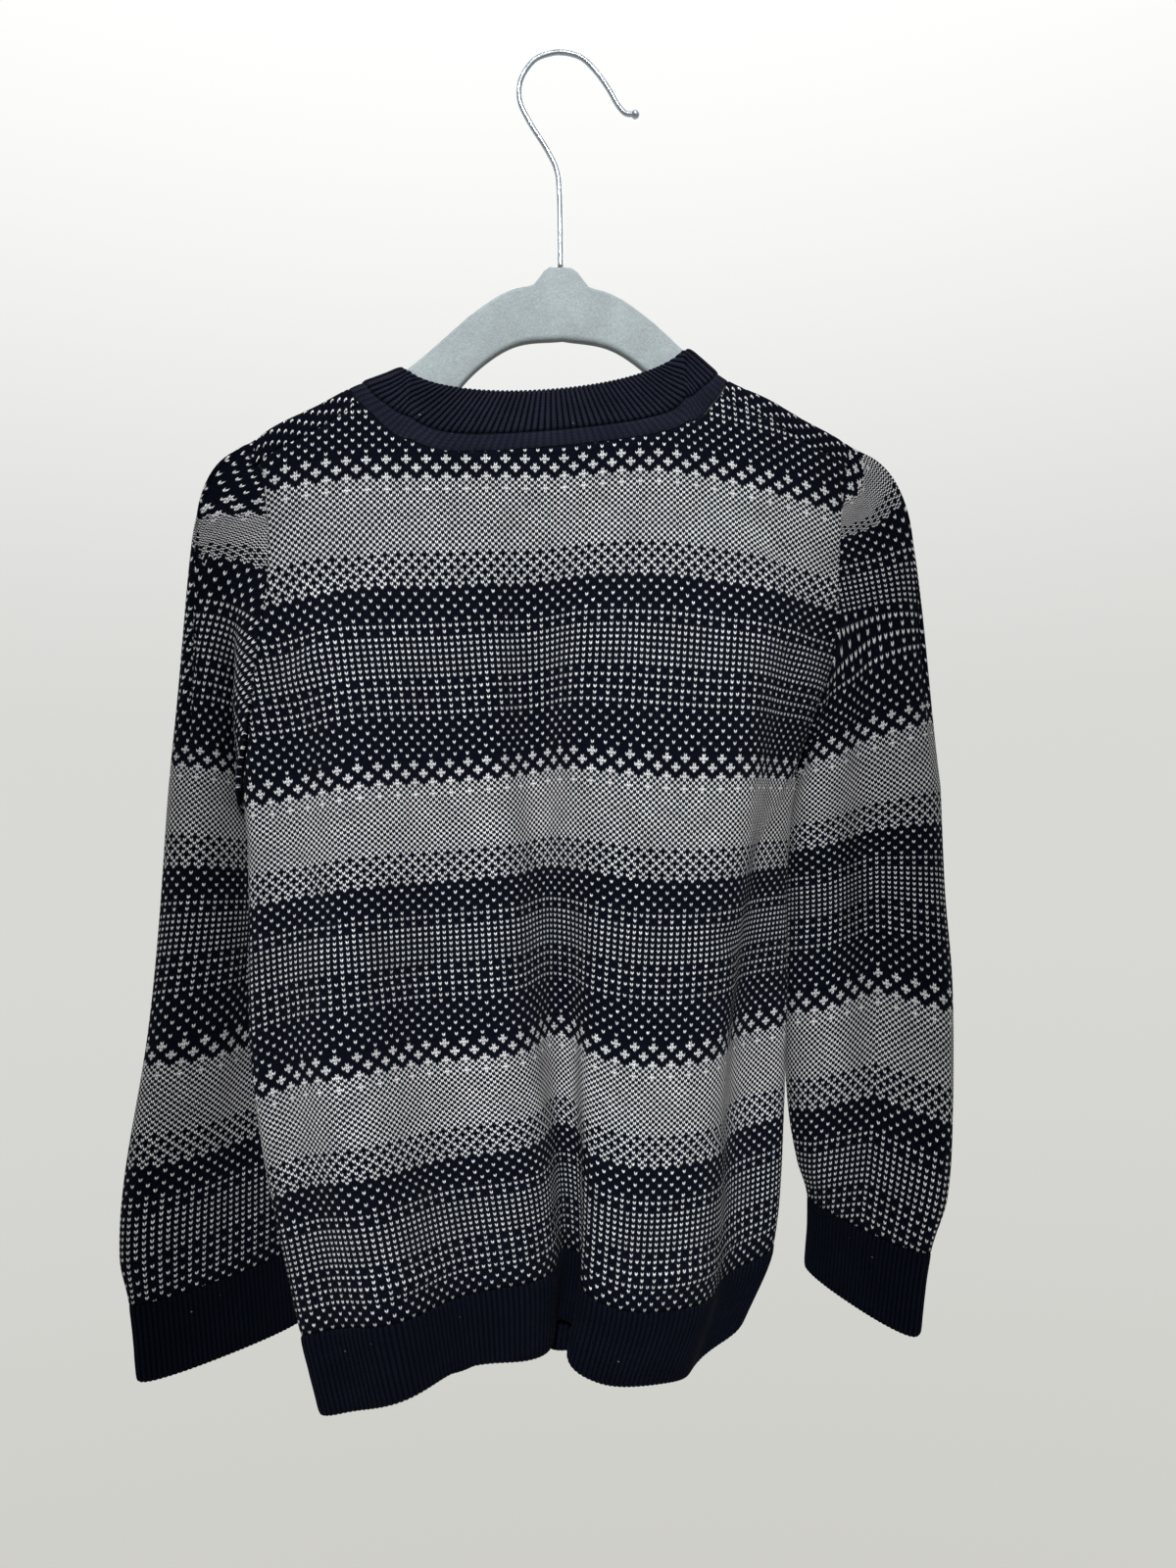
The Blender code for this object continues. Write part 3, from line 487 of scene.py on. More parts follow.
def points_at(chain, lengths, goals):
    """Points of a chain where another measure along it reaches the rising goals."""
    points, k = [], 0
    for goal in goals:
        while k < len(chain) - 2 and lengths[k + 1] < goal:
            k += 1
        share = (goal - lengths[k]) / (lengths[k + 1] - lengths[k])
        points.append(chain[k].lerp(chain[k + 1], share))
    return points


def neck_half(side, share, outset=0.0):
    """Columns of one half ring of the neckband, from the left fold-over to the right one."""
    ruler = lengths_along(neck_chain(side, share))
    near, columns, total = near_fold(side), NECK_COLUMNS[side], ruler[-1]
    inner = [near[-1] + (total - 2 * near[-1]) * k / columns for k in range(1, columns)]
    goals = near + inner + [total - length for length in reversed(near)]
    return points_at(neck_chain(side, share, outset), ruler, goals)


for side, side_name in SIDE_NAMES.items():
    print(f"neck seam, {side_name}: {lengths_along(neck_chain(side, 0.0))[-1]:.0f} mm")


# %% Armholes and the upper edge
ARMHOLE_GUESS, ARMHOLE_TRIES = -15, 4     # first guess of a course, and how often it is bettered
HOLD_BACK = GAP / 3       # wales by which a panel stops short of its seam line


def armhole_wale(course):
    return spline(column_of(ARMHOLE, 0), column_of(ARMHOLE, 1), course)


def armhole_x(side, hand, cloth):
    """Where the armhole edge crosses a line at some length of cloth from the fold-over."""
    wale = hand * armhole_wale(ARMHOLE_GUESS)
    for _ in range(ARMHOLE_TRIES):
        wale = hand * (armhole_wale(course_at(side, wale, cloth)) - HOLD_BACK)
    return YOKE_X + wale * YOKE_WALE


def top_edge(side):
    """Upper edge of a panel's main part from its left tip to its right tip, as wale and course."""
    cloth = near_fold(side)[-1] + (SEAM_HALF_GAP if side == BACK else 0)
    neck = neck_half(side, 0.0, SEAM_HALF_GAP)[NEAR_STEPS:-NEAR_STEPS]
    left, right = (Vector((armhole_x(side, hand, cloth), cloth)) for hand in (-1, 1))
    if side == BACK:
        neck[0].y, neck[-1].y = neck[0].y + SEAM_HALF_GAP, neck[-1].y + SEAM_HALF_GAP
    shares = [k / SHOULDER_COLUMNS for k in range(SHOULDER_COLUMNS)]
    edge = [left.lerp(neck[0], share) for share in shares] + neck
    edge += [right.lerp(neck[-1], share) for share in reversed(shares)]
    return [flat_point(side, *point) for point in edge]


TOP_EDGES = {side: top_edge(side) for side in (BACK, FRONT)}


def side_edge(side, hand, share):
    """Armhole edge of a panel's main part, from its top (0) to the underarm (1)."""
    top = TOP_EDGES[side][0 if hand < 0 else -1].y
    course = top + (UNDERARM - top) * share
    return Vector((hand * (armhole_wale(course) - HOLD_BACK), course))


print("columns of the back:", len(TOP_EDGES[BACK]), " of the front:", len(TOP_EDGES[FRONT]))


# %% Fill a panel between its edges
def body_wale(share):
    drawn = share - CROWDING * math.sin(2 * math.pi * share) / (2 * math.pi)
    return (HALF_WALES - HOLD_BACK) * (2 * drawn - 1)


def panel_flats(side):
    """Wales and courses of a panel's main part, row by row down to the rib."""
    edge = TOP_EDGES[side]
    columns = len(edge) - 1
    rows = []
    for r in range(TOP_ROWS + 1):
        down = r / TOP_ROWS
        left, right = side_edge(side, -1, down), side_edge(side, 1, down)
        row = []
        for c in range(columns + 1):
            across = c / columns
            flat = (1 - down) * edge[c] + down * Vector((body_wale(across), UNDERARM))
            flat += (1 - across) * left + across * right
            flat -= (1 - down) * ((1 - across) * edge[0] + across * edge[-1])
            flat -= down * Vector(((1 - across) * body_wale(0) + across * body_wale(1), UNDERARM))
            row.append(flat)
        rows.append(row)
    last = SECTIONS["rib"][0] - GAP / 2 / STITCH
    for course in evenly(UNDERARM, last, BODY_ROWS)[1:]:
        rows.append([Vector((body_wale(c / columns), course)) for c in range(columns + 1)])
    return rows


back_rows = panel_flats(BACK)
print("grid of the back:", len(back_rows), "by", len(back_rows[0]))


# %% The front's shoulders
def shoulder_flats(hand):
    """The front's shoulder, from its seam on the back over the hanger to its main part."""
    over, down = neck_half(BACK, 0.0, SEAM_HALF_GAP), neck_half(FRONT, 0.0, SEAM_HALF_GAP)
    if hand > 0:
        over.reverse()
        down.reverse()
    over[NEAR_STEPS].y -= SEAM_HALF_GAP
    ends = [(-cloth, Vector((neck.x, -neck.y))) for cloth, neck in zip(near_fold(BACK), over)]
    ends = ends[:0:-1] + list(zip(near_fold(FRONT), down))
    rows = []
    for cloth, neck in ends:
        cloth = max(cloth, SEAM_HALF_GAP - SEAM_BACK)
        tip = Vector((armhole_x(FRONT, hand, cloth), cloth))
        row = [tip.lerp(neck, k / SHOULDER_COLUMNS) for k in range(SHOULDER_COLUMNS + 1)]
        rows.append([flat_point(FRONT, *point) for point in row])
    edge = TOP_EDGES[FRONT] if hand < 0 else TOP_EDGES[FRONT][::-1]
    rows[-1] = edge[:SHOULDER_COLUMNS + 1]
    return rows


print("rows of a shoulder:", len(shoulder_flats(1)))

# %% [markdown]
# ## Creases
#
# The folds above are the large ones. Cloth also has soft creases, drag lines from the underarms
# towards the shoulders and small buckles where it bulges over the rib. Each one is a row of a
# table: it runs from one stitch to another, and has a half width and a height, minus for a
# trough. They are uneven in length and depth, as on the real sweater. The front isn't seen in
# the picture and has creases of the same kind.

# %% State the creases
CREASES = {
    BACK: (
        # name               from wale, course   to wale, course  half width  height (mm)
        ("left drag",           (-98, 58),         (-40, 10),         11,      -1.6),
        ("left drag ridge",     (-102, 78),        (-52, 40),         12,       1.7),
        ("left underarm",       (-108, 96),        (-84, 150),         9,      -2.2),
        ("right drag",          (96, 52),          (52, 12),          10,      -1.8),
        ("right drag ridge",    (104, 84),         (62, 34),          11,       1.5),
        ("right underarm",      (106, 96),         (82, 132),          9,      -2.0),
        ("shoulder blade",      (-14, 22),         (-20, 92),         13,      -1.3),
        ("mid back ridge",      (20, 60),          (34, 130),         12,       1.2),
        ("waist buckle left",   (-92, 176),        (-36, 168),         8,      -1.2),
        ("waist buckle low",    (-84, 238),        (-30, 250),         9,      -1.1),
        ("ridge bend",          (40, 150),         (78, 172),         10,      -1.2),
        ("hip buckle right",    (44, 236),         (96, 226),          9,      -1.3),
        ("rib bulge left",      (-96, 276),        (-40, 274),         7,       1.3),
        ("rib bulge right",     (24, 277),         (92, 275),          7,       1.4),
    ),
    FRONT: (
        ("left drag",           (-98, 62),         (-46, 16),         11,      -1.5),
        ("left drag ridge",     (-102, 84),        (-54, 46),         12,       1.4),
        ("right drag",          (98, 66),          (50, 20),          11,      -1.6),
        ("right drag ridge",    (102, 88),         (58, 52),          12,       1.4),
        ("chest trough",        (-8, 70),          (-14, 130),        12,      -1.2),
        ("waist buckle left",   (-84, 186),        (-30, 178),         8,      -1.1),
        ("waist buckle right",  (26, 170),         (88, 182),          9,      -1.2),
        ("hip buckle",          (-40, 238),        (28, 246),          9,      -1.2),
        ("rib bulge left",      (-94, 276),        (-24, 274),         7,       1.3),
        ("rib bulge right",     (20, 275),         (96, 277),          7,       1.3),
    ),
}
CREASE_WAVE, CREASE_WAVES = 0.4, 9        # a crease's depth comes and goes along it
CREASE_REACH = 0.95       # half of its length, counted from its middle
UNEVEN = 0.35             # small unevenness everywhere: its height
UNEVEN_SIZE = 26.0        # and its size
ROLL_DEPTH, ROLL_WIDTH = 1.1, 2.2         # how a sewn edge rolls in
print(sum(len(rows) for rows in CREASES.values()), "creases")


# %% Depth of the creases and lie of the seams
def crease_height(side, flat):
    """Height of all creases of a panel at a stitch, in millimetres."""
    height = 0.0
    for _, start, end, half_width, depth in CREASES[side]:
        start, end = Vector(start), Vector(end)
        along = (flat - start).dot(end - start) / (end - start).length_squared
        if abs(along - 0.5) > 1:
            continue
        off = STITCH * (flat - start.lerp(end, along)).length
        wave = 1 + CREASE_WAVE * math.sin(CREASE_WAVES * along + start.x)
        height += depth * wave * hump(off / half_width) * hump((along - 0.5) / CREASE_REACH)
    lumps = noise.noise(Vector((flat.x, flat.y, 40.0 * side)) * (STITCH / UNEVEN_SIZE))
    return height + UNEVEN * lumps


def seam_roll(distance):
    """How far cloth dips towards the inside near a sewn edge."""
    return -ROLL_DEPTH * math.exp(-(distance / ROLL_WIDTH) ** 2)


def normals_of(grid, closed):
    """Unit normals of a grid of points, by differences between neighbours."""
    rows, width = len(grid), len(grid[0])
    normals = []
    for r in range(rows):
        above, below = grid[max(r - 1, 0)], grid[min(r + 1, rows - 1)]
        here = grid[r]
        line = []
        for c in range(width):
            left = here[c - 1] if closed or c else here[0]
            right = here[(c + 1) % width] if closed else here[min(c + 1, width - 1)]
            line.append((right - left).cross(below[c] - above[c]).normalized())
        normals.append(line)
    return normals


print("an edge rolls in by", round(-seam_roll(0), 1), "mm")

# %% [markdown]
# ## From a grid to a shell of cloth
#
# Each panel is a grid of points joined into faces. The UV map takes the wale and the course of
# each corner, so one unit of UV is one stitch. Solidify then gives the grid the knit's
# thickness, with the inside on a material of its own, because a jacquard's inside looks
# different from its face. The flat size that the piece was cut to is measured from the same
# counts.

# %% Build a shell
WELD = 0.02               # points this close are one point


def join_grids(name, grids, closed):
    """One mesh from grids of (point, flat) pairs that share edges."""
    points, flats, faces = [], [], []
    for places, counts in grids:
        width, first = len(places[0]), len(points)
        points += [point * MM for row in places for point in row]
        flats += [flat for row in counts for flat in row[:width]]
        for r in range(len(places) - 1):
            for c in range(width if closed else width - 1):
                a, b = first + r * width + c, first + r * width + (c + 1) % width
                faces.append((a, b, b + width, a + width))
    mesh = bpy.data.meshes.new(name)
    mesh.from_pydata(points, [], faces)
    stitches = mesh.uv_layers.new(name="stitches")
    for loop in mesh.loops:
        stitches.data[loop.index].uv = flats[loop.vertex_index]
    return mesh


def weld_and_turn(mesh, outside):
    """Join the grids' shared edges and turn the faces the way that outside() gives."""
    shape = bmesh.new()
    shape.from_mesh(mesh)
    bmesh.ops.remove_doubles(shape, verts=shape.verts, dist=WELD * MM)
    bmesh.ops.recalc_face_normals(shape, faces=shape.faces)
    score = sum(face.normal.dot(outside(face.calc_center_median())) * face.calc_area()
                for face in shape.faces)
    if score < 0:
        bmesh.ops.reverse_faces(shape, faces=shape.faces)
    shape.to_mesh(mesh)
    shape.free()


def flat_area(mesh):
    """Area of a mesh in its UV map, in square stitches."""
    uv = mesh.uv_layers["stitches"].data
    total = 0.0
    for face in mesh.polygons:
        corners = [uv[k].uv for k in face.loop_indices]
        pairs = zip(corners, corners[1:] + corners[:1])
        total += abs(sum(a.x * b.y - b.x * a.y for a, b in pairs)) / 2
    return total


def turn_outward(mesh):
    """Turn the faces of a closed mesh to its outside."""
    shape = bmesh.new()
    shape.from_mesh(mesh)
    bmesh.ops.recalc_face_normals(shape, faces=shape.faces)
    if shape.calc_volume(signed=True) < 0:
        bmesh.ops.reverse_faces(shape, faces=shape.faces)
    shape.to_mesh(mesh)
    shape.free()


# %% Add a piece to the garment
def dress(item, nodes):
    """Tie a finished piece to the frame."""
    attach(item, "root")
    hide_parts(*nodes)
    return item


def add_piece(mesh, materials):
    item = bpy.data.objects.new(mesh.name, mesh)
    garment.objects.link(item)
    for material in materials:
        mesh.materials.append(material)
    mesh.shade_smooth()
    return item


def thicken(item):
    knit = item.modifiers.new("knit thickness", "SOLIDIFY")
    knit.thickness = WALL * MM
    knit.offset = 0
    knit.use_quality_normals = True
    knit.material_offset = 1
    knit.material_offset_rim = 0


garment = bpy.data.collections.new("sweater")
bpy.context.scene.collection.children.link(garment)
print("collection:", garment.name)

# %% [markdown]
# ## Yarn, stitch and chart
#
# Three shader node groups make the knit, and every knitted material uses them.
#
# *Knit stitch* finds, from the UV map, which stitch a point belongs to. A stitch of plain knit
# is a V: its two legs rise from the middle, so near its sides a stitch reaches higher up than
# in the middle. The group also gives the roundness of the legs, for relief and shade.
#
# *Stripe chart* is the knitter's chart. The repeat is 12 wales wide and 98 courses high: four
# rows of small stars, a bird's-eye field, a lattice, and then rows of dots that thicken and
# thin. A picture of the chart could be painted, but arithmetic on the counts is sharper at any
# distance: the distance to the nearest star, and a ramp that says which dots a row has.
#
# *Yarn fluff* is the unevenness of the yarn itself.

# %% Helpers for building node groups
def new_group(name, inputs, outputs):
    tree = bpy.data.node_groups.new(name, "ShaderNodeTree")
    for label, kind, default in inputs:
        socket = tree.interface.new_socket(label, in_out="INPUT", socket_type=kind)
        if default is not None:
            socket.default_value = default
    for label, kind in outputs:
        tree.interface.new_socket(label, in_out="OUTPUT", socket_type=kind)
    given = tree.nodes.new("NodeGroupInput").outputs
    return tree, given, tree.nodes.new("NodeGroupOutput").inputs


def plug(tree, value, socket):
    if isinstance(value, bpy.types.NodeSocket):
        tree.links.new(value, socket)
    else:
        socket.default_value = value


def calc(tree, operation, *values):
    """A Math node with its inputs plugged in; gives its output."""
    node = tree.nodes.new("ShaderNodeMath")
    node.operation = operation
    for value, socket in zip(values, node.inputs):
        plug(tree, value, socket)
    return node.outputs[0]


def place_group(tree, group, **values):
    node = tree.nodes.new("ShaderNodeGroup")
    node.node_tree = group
    for label, value in values.items():
        plug(tree, value, node.inputs[label.replace("_", " ")])
    return node.outputs


MIX_SHARE, MIX_LOW, MIX_HIGH, MIX_COLOR = 0, 6, 7, 2     # a Mix node's color sockets


def blend_colors(tree, share, low, high, mode="MIX"):
    node = tree.nodes.new("ShaderNodeMix")
    node.data_type = "RGBA"
    node.blend_type = mode
    plug(tree, share, node.inputs[MIX_SHARE])
    plug(tree, low, node.inputs[MIX_LOW])
    plug(tree, high, node.inputs[MIX_HIGH])
    return node.outputs[MIX_COLOR]


def ranged(tree, value, low, high, new_low, new_high):
    node = tree.nodes.new("ShaderNodeMapRange")
    for number, socket in zip((value, low, high, new_low, new_high), node.inputs):
        plug(tree, number, socket)
    return node.outputs[0]


def add_noise(tree, places, scale, detail):
    node = tree.nodes.new("ShaderNodeTexNoise")
    node.inputs["Scale"].default_value = scale
    node.inputs["Detail"].default_value = detail
    tree.links.new(places, node.inputs["Vector"])
    return node.outputs


print("a Mix node puts out its color at", MIX_COLOR)


# %% The knit stitch
V_DEPTH = 0.62            # how far the V's legs rise, in courses
LEG_FULLNESS = 0.6        # below 1 the legs are fuller than a sine


def make_stitch_group():
    tree, given, out = new_group(
        "knit stitch",
        [("Wale", "NodeSocketFloat", 0.0), ("Course", "NodeSocketFloat", 0.0)],
        [("Wale Number", "NodeSocketFloat"), ("Course Number", "NodeSocketFloat"),
         ("Leg", "NodeSocketFloat")])
    wale = calc(tree, "FLOOR", calc(tree, "ADD", given["Wale"], 0.5))
    off = calc(tree, "ABSOLUTE", calc(tree, "SUBTRACT", given["Wale"], wale))
    row = calc(tree, "MULTIPLY_ADD", off, 2 * V_DEPTH, given["Course"])
    course = calc(tree, "FLOOR", row)
    turn = calc(tree, "MULTIPLY", calc(tree, "MINIMUM", off, 0.5), 2 * math.pi)
    rise = calc(tree, "MULTIPLY", calc(tree, "FRACT", row), math.pi)
    both = calc(tree, "MULTIPLY", calc(tree, "SINE", turn), calc(tree, "SINE", rise))
    leg = calc(tree, "POWER", both, LEG_FULLNESS)
    tree.links.new(wale, out["Wale Number"])
    tree.links.new(course, out["Course Number"])
    tree.links.new(leg, out["Leg"])
    return tree


STITCH_GROUP = make_stitch_group()
print("built", STITCH_GROUP.name)

# %% The stripe chart
REPEAT = 98
STARS = (
    # row's middle course, wales from the centre star
    (1, 0),
    (4, 3),
    (7, 0),
    (11, 0),
)
BIRDS_EYE = (8, 42)       # courses in which every odd row has all its odd wales
# From course 8 on, the dots of every second course: on wales 0, 4, 8 (a), on 2, 6, 10 (b), or
# on both (x).
DOTS_FROM = 8
DOTS = 12 * "x" + "bababb" + "ababa" + "xa" + 7 * "x" + "axaxaxa" + "bababa"
print("chart:", REPEAT, "courses,", len(STARS), "rows of stars,", len(DOTS), "rows of dots")


def make_dot_ramp(tree, share):
    """Ramp down the repeat whose red and green are the two sets of dots and blue the odd rows."""
    node = tree.nodes.new("ShaderNodeValToRGB")
    ramp = node.color_ramp
    ramp.interpolation = "CONSTANT"
    ramp.elements[0].color = (0, 0, 0, 1)
    ramp.elements.remove(ramp.elements[1])
    last = (0, 0, 0, 1)
    for course in range(DOTS_FROM, REPEAT):
        dots = DOTS[(course - DOTS_FROM) // 2]
        color = (float(dots in "ax"), float(dots in "bx"), float(course < BIRDS_EYE[1]), 1)
        if color != last:
            ramp.elements.new(course / REPEAT).color = color
            last = color
    tree.links.new(share, node.inputs[0])
    parts = tree.nodes.new("ShaderNodeSeparateColor")
    tree.links.new(node.outputs["Color"], parts.inputs[0])
    print("dot ramp has", len(ramp.elements), "stops")
    return parts.outputs


# %% The chart as a node group
def make_chart_group():
    tree, given, out = new_group(
        "stripe chart",
        [("Wale Number", "NodeSocketFloat", 0.0), ("Course Number", "NodeSocketFloat", 0.0)],
        [("White", "NodeSocketFloat")])
    wale = given["Wale Number"]
    course = calc(tree, "FLOORED_MODULO", given["Course Number"], REPEAT)
    near_star = calc(tree, "PINGPONG", wale, STAR / 2)
    white = 0.0
    for middle, shift in STARS:
        down = calc(tree, "ABSOLUTE", calc(tree, "SUBTRACT", course, middle))
        across = calc(tree, "ABSOLUTE", calc(tree, "SUBTRACT", near_star, shift))
        star = calc(tree, "LESS_THAN", calc(tree, "ADD", down, across), 1.5)
        white = calc(tree, "MAXIMUM", star, white)
    share = calc(tree, "DIVIDE", calc(tree, "ADD", course, 0.5), REPEAT)
    fours, twos, odds = make_dot_ramp(tree, share)[:3]
    wale_in_four = calc(tree, "FLOORED_MODULO", wale, 4.0)
    odd_course = calc(tree, "FLOORED_MODULO", course, 2.0)
    odd_wale = calc(tree, "FLOORED_MODULO", wale, 2.0)
    four_dots = calc(tree, "MULTIPLY", fours, calc(tree, "COMPARE", wale_in_four, 0.0, 0.1))
    two_dots = calc(tree, "MULTIPLY", twos, calc(tree, "COMPARE", wale_in_four, 2.0, 0.1))
    even_dots = calc(tree, "MULTIPLY", calc(tree, "ADD", four_dots, two_dots),
                     calc(tree, "SUBTRACT", 1.0, odd_course))
    odd_dots = calc(tree, "MULTIPLY", calc(tree, "MULTIPLY", odds, odd_wale), odd_course)
    white = calc(tree, "MAXIMUM", white, calc(tree, "MAXIMUM", even_dots, odd_dots))
    tree.links.new(white, out["White"])
    return tree


CHART_GROUP = make_chart_group()
print("built", CHART_GROUP.name)

# %% Yarn fluff
FLUFF_SCALE = 1.9         # per stitch
PATCH_SCALE = 0.11


def make_fluff_group():
    tree, given, out = new_group(
        "yarn fluff",
        [("Stitches", "NodeSocketVector", None), ("Wander", "NodeSocketFloat", 0.1)],
        [("Stitches", "NodeSocketVector"), ("Fluff", "NodeSocketFloat"),
         ("Patches", "NodeSocketFloat")])
    fine = add_noise(tree, given["Stitches"], FLUFF_SCALE, 3.0)
    wide = add_noise(tree, given["Stitches"], PATCH_SCALE, 4.0)
    push = tree.nodes.new("ShaderNodeVectorMath")
    push.operation = "SUBTRACT"
    push.inputs[1].default_value = (0.5, 0.5, 0.5)
    tree.links.new(fine["Color"], push.inputs[0])
    moved = tree.nodes.new("ShaderNodeVectorMath")
    moved.operation = "SCALE"
    tree.links.new(push.outputs[0], moved.inputs[0])
    tree.links.new(given["Wander"], moved.inputs["Scale"])
    total = tree.nodes.new("ShaderNodeVectorMath")
    total.operation = "ADD"
    tree.links.new(given["Stitches"], total.inputs[0])
    tree.links.new(moved.outputs[0], total.inputs[1])
    tree.links.new(total.outputs[0], out["Stitches"])
    tree.links.new(fine["Fac"], out["Fluff"])
    tree.links.new(wide["Fac"], out["Patches"])
    return tree


FLUFF_GROUP = make_fluff_group()
print("built", FLUFF_GROUP.name)

# %% [markdown]
# ## The jacquard's material
#
# Navy ground, off-white dots. The legs of the stitches give relief through a Bump node, and
# painted shade darkens the gaps between them in the colour: each yarn has a lit and a shaded
# colour. A little sheen gives the soft bloom of a brushed cotton yarn where the cloth turns away.

# %% Make the jacquard
# The darkest navy and the white's shade are painted shade, for the gaps between the stitches' legs;
# the lit navy and the off-white are the yarns where they are lit.
NAVY_SHADE = (0.0004, 0.0006, 0.0020, 1)
NAVY_LIT = (0.0036, 0.0052, 0.0125, 1)
OFF_WHITE = (0.90, 0.905, 0.92, 1)
WHITE_SHADE = (0.045, 0.048, 0.062, 1)
YARN_BLOOM = (0.75, 0.8, 0.9, 1)
SPECULAR, SHEEN_ROUGHNESS = 0.03, 0.45
WHITE_RISE = 0.35         # how much higher the pale yarn lies, against a leg's height


def start_material(name, roughness, sheen, sheen_tint):
    material = bpy.data.materials.new(name)
    material.use_nodes = True
    shader = material.node_tree.nodes["Principled BSDF"]
    shader.inputs["Roughness"].default_value = roughness
    shader.inputs["Specular IOR Level"].default_value = SPECULAR
    shader.inputs["Sheen Weight"].default_value = sheen
    shader.inputs["Sheen Roughness"].default_value = SHEEN_ROUGHNESS
    shader.inputs["Sheen Tint"].default_value = sheen_tint
    return material, material.node_tree, shader


def add_bump(tree, shader, height, distance):
    """Relief of so many millimetres."""
    bump = tree.nodes.new("ShaderNodeBump")
    bump.inputs["Strength"].default_value = 1.0
    bump.inputs["Distance"].default_value = distance * MM
    tree.links.new(height, bump.inputs["Height"])
    tree.links.new(bump.outputs["Normal"], shader.inputs["Normal"])


def split_stitches(tree, stitches):
    parts = tree.nodes.new("ShaderNodeSeparateXYZ")
    tree.links.new(stitches, parts.inputs[0])
    return parts.outputs["X"], parts.outputs["Y"]


def read_stitches(tree, wander):
    """The UV map in stitches, a little unsettled by the yarn's fluff."""
    uv = tree.nodes.new("ShaderNodeUVMap")
    uv.uv_map = "stitches"
    return place_group(tree, FLUFF_GROUP, Stitches=uv.outputs[0], Wander=wander)


print("yarn colors:", NAVY_SHADE[:3], "and", OFF_WHITE[:3])


# %% The jacquard's face and inside
def make_jacquard():
    material, tree, shader = start_material("navy and white jacquard", 0.90, 0.006, YARN_BLOOM)
    yarn = read_stitches(tree, 0.30)
    wale, course = split_stitches(tree, yarn["Stitches"])
    cell = place_group(tree, STITCH_GROUP, Wale=wale, Course=course)
    white = place_group(tree, CHART_GROUP, Wale_Number=cell["Wale Number"],
                        Course_Number=cell["Course Number"])["White"]
    leg = cell["Leg"]
    # Painted shade: darkest in the gaps between the legs, and varied by the yarn's uneven fluff.
    shade = calc(tree, "MULTIPLY", ranged(tree, leg, 0.12, 0.80, 0.0, 1.0),
                 ranged(tree, yarn["Fluff"], 0.25, 0.75, 0.72, 1.12))
    light = blend_colors(tree, shade, WHITE_SHADE, OFF_WHITE)
    dark = blend_colors(tree, shade, NAVY_SHADE, NAVY_LIT)
    color = blend_colors(tree, white, dark, light)
    worn = ranged(tree, yarn["Patches"], 0.3, 0.7, 0.86, 1.08)
    tinted = blend_colors(tree, 1.0, color, worn, "MULTIPLY")
    tree.links.new(tinted, shader.inputs["Base Color"])
    height = calc(tree, "ADD", leg, calc(tree, "MULTIPLY", white, WHITE_RISE))
    add_bump(tree, shader, height, 0.35)
    return material


def make_jacquard_inside():
    """The inside shows both yarns as specks in every course."""
    material, tree, shader = start_material("jacquard inside", 0.92, 0.006, YARN_BLOOM)
    yarn = read_stitches(tree, 0.45)
    wale, course = split_stitches(tree, yarn["Stitches"])
    line = calc(tree, "FLOOR", calc(tree, "MULTIPLY", course, 1.5))
    speck = calc(tree, "FLOORED_MODULO", calc(tree, "ADD", calc(tree, "FLOOR", wale), line), 2.0)
    light = blend_colors(tree, yarn["Fluff"], (0.16, 0.17, 0.19, 1), (0.42, 0.43, 0.43, 1))
    tree.links.new(blend_colors(tree, speck, NAVY_LIT, light), shader.inputs["Base Color"])
    add_bump(tree, shader, yarn["Fluff"], 0.3)
    return material


JACQUARD = make_jacquard()
JACQUARD_INSIDE = make_jacquard_inside()
print("materials:", JACQUARD.name, "and", JACQUARD_INSIDE.name)

# %% [markdown]
# ## Back and front
#
# The back is one grid. The front is three: its main part and two shoulders, which lie over the
# hanger and end at seams a little way down the back, as on many sweaters. Stitches on a
# shoulder point the other way when seen from behind, because they belong to the front.

# %% Where the pattern starts
# The stripes aren't quite level with the count, because the knit is stretched unevenly: courses
# by which the back's first stars sit higher than their count, at named wales.
FIRST_STARS_UP = (
    # name         wale  courses
    ("left seam",  -120, 4.0),
    ("left strip",  -96, 4.0),
    ("left field",  -66, 3.3),
    ("mid left",    -24, 1.3),
    ("middle",        0, 0.0),
    ("right seam",  120, 0.0),
)
FIRST_STARS_FADE = 60     # by this course the stripes follow the count again
FRONT_UP = 24             # the front starts with a later part of the chart than the back
FRONT_FADE = 90           # courses over which it comes back to the same part


def pattern_flat(side, flat):
    """Wale and course of the chart at a stitch of a body panel."""
    if side == FRONT:
        return flat + Vector((0, FRONT_UP * (1 - smoothstep(flat.y / FRONT_FADE))))
    up = spline(column_of(FIRST_STARS_UP, 1), column_of(FIRST_STARS_UP, 2), flat.x)
    return flat + Vector((0, up * (1 - smoothstep(flat.y / FIRST_STARS_FADE))))


print("pattern at the front's middle starts at course", pattern_flat(FRONT, Vector((0, 0))).y)

# %% Knit the back and the front
CREASES_FROM = 12         # courses below the first stars at which the creases are at full depth
CREASES_IN = 9            # and how far they keep from a seam, in mm
SIDE_ROLL, RIB_ROLL = 0.5, 0.4
OUTSIDE_UP = -0.25        # above this height, in metres, a panel's outside looks up


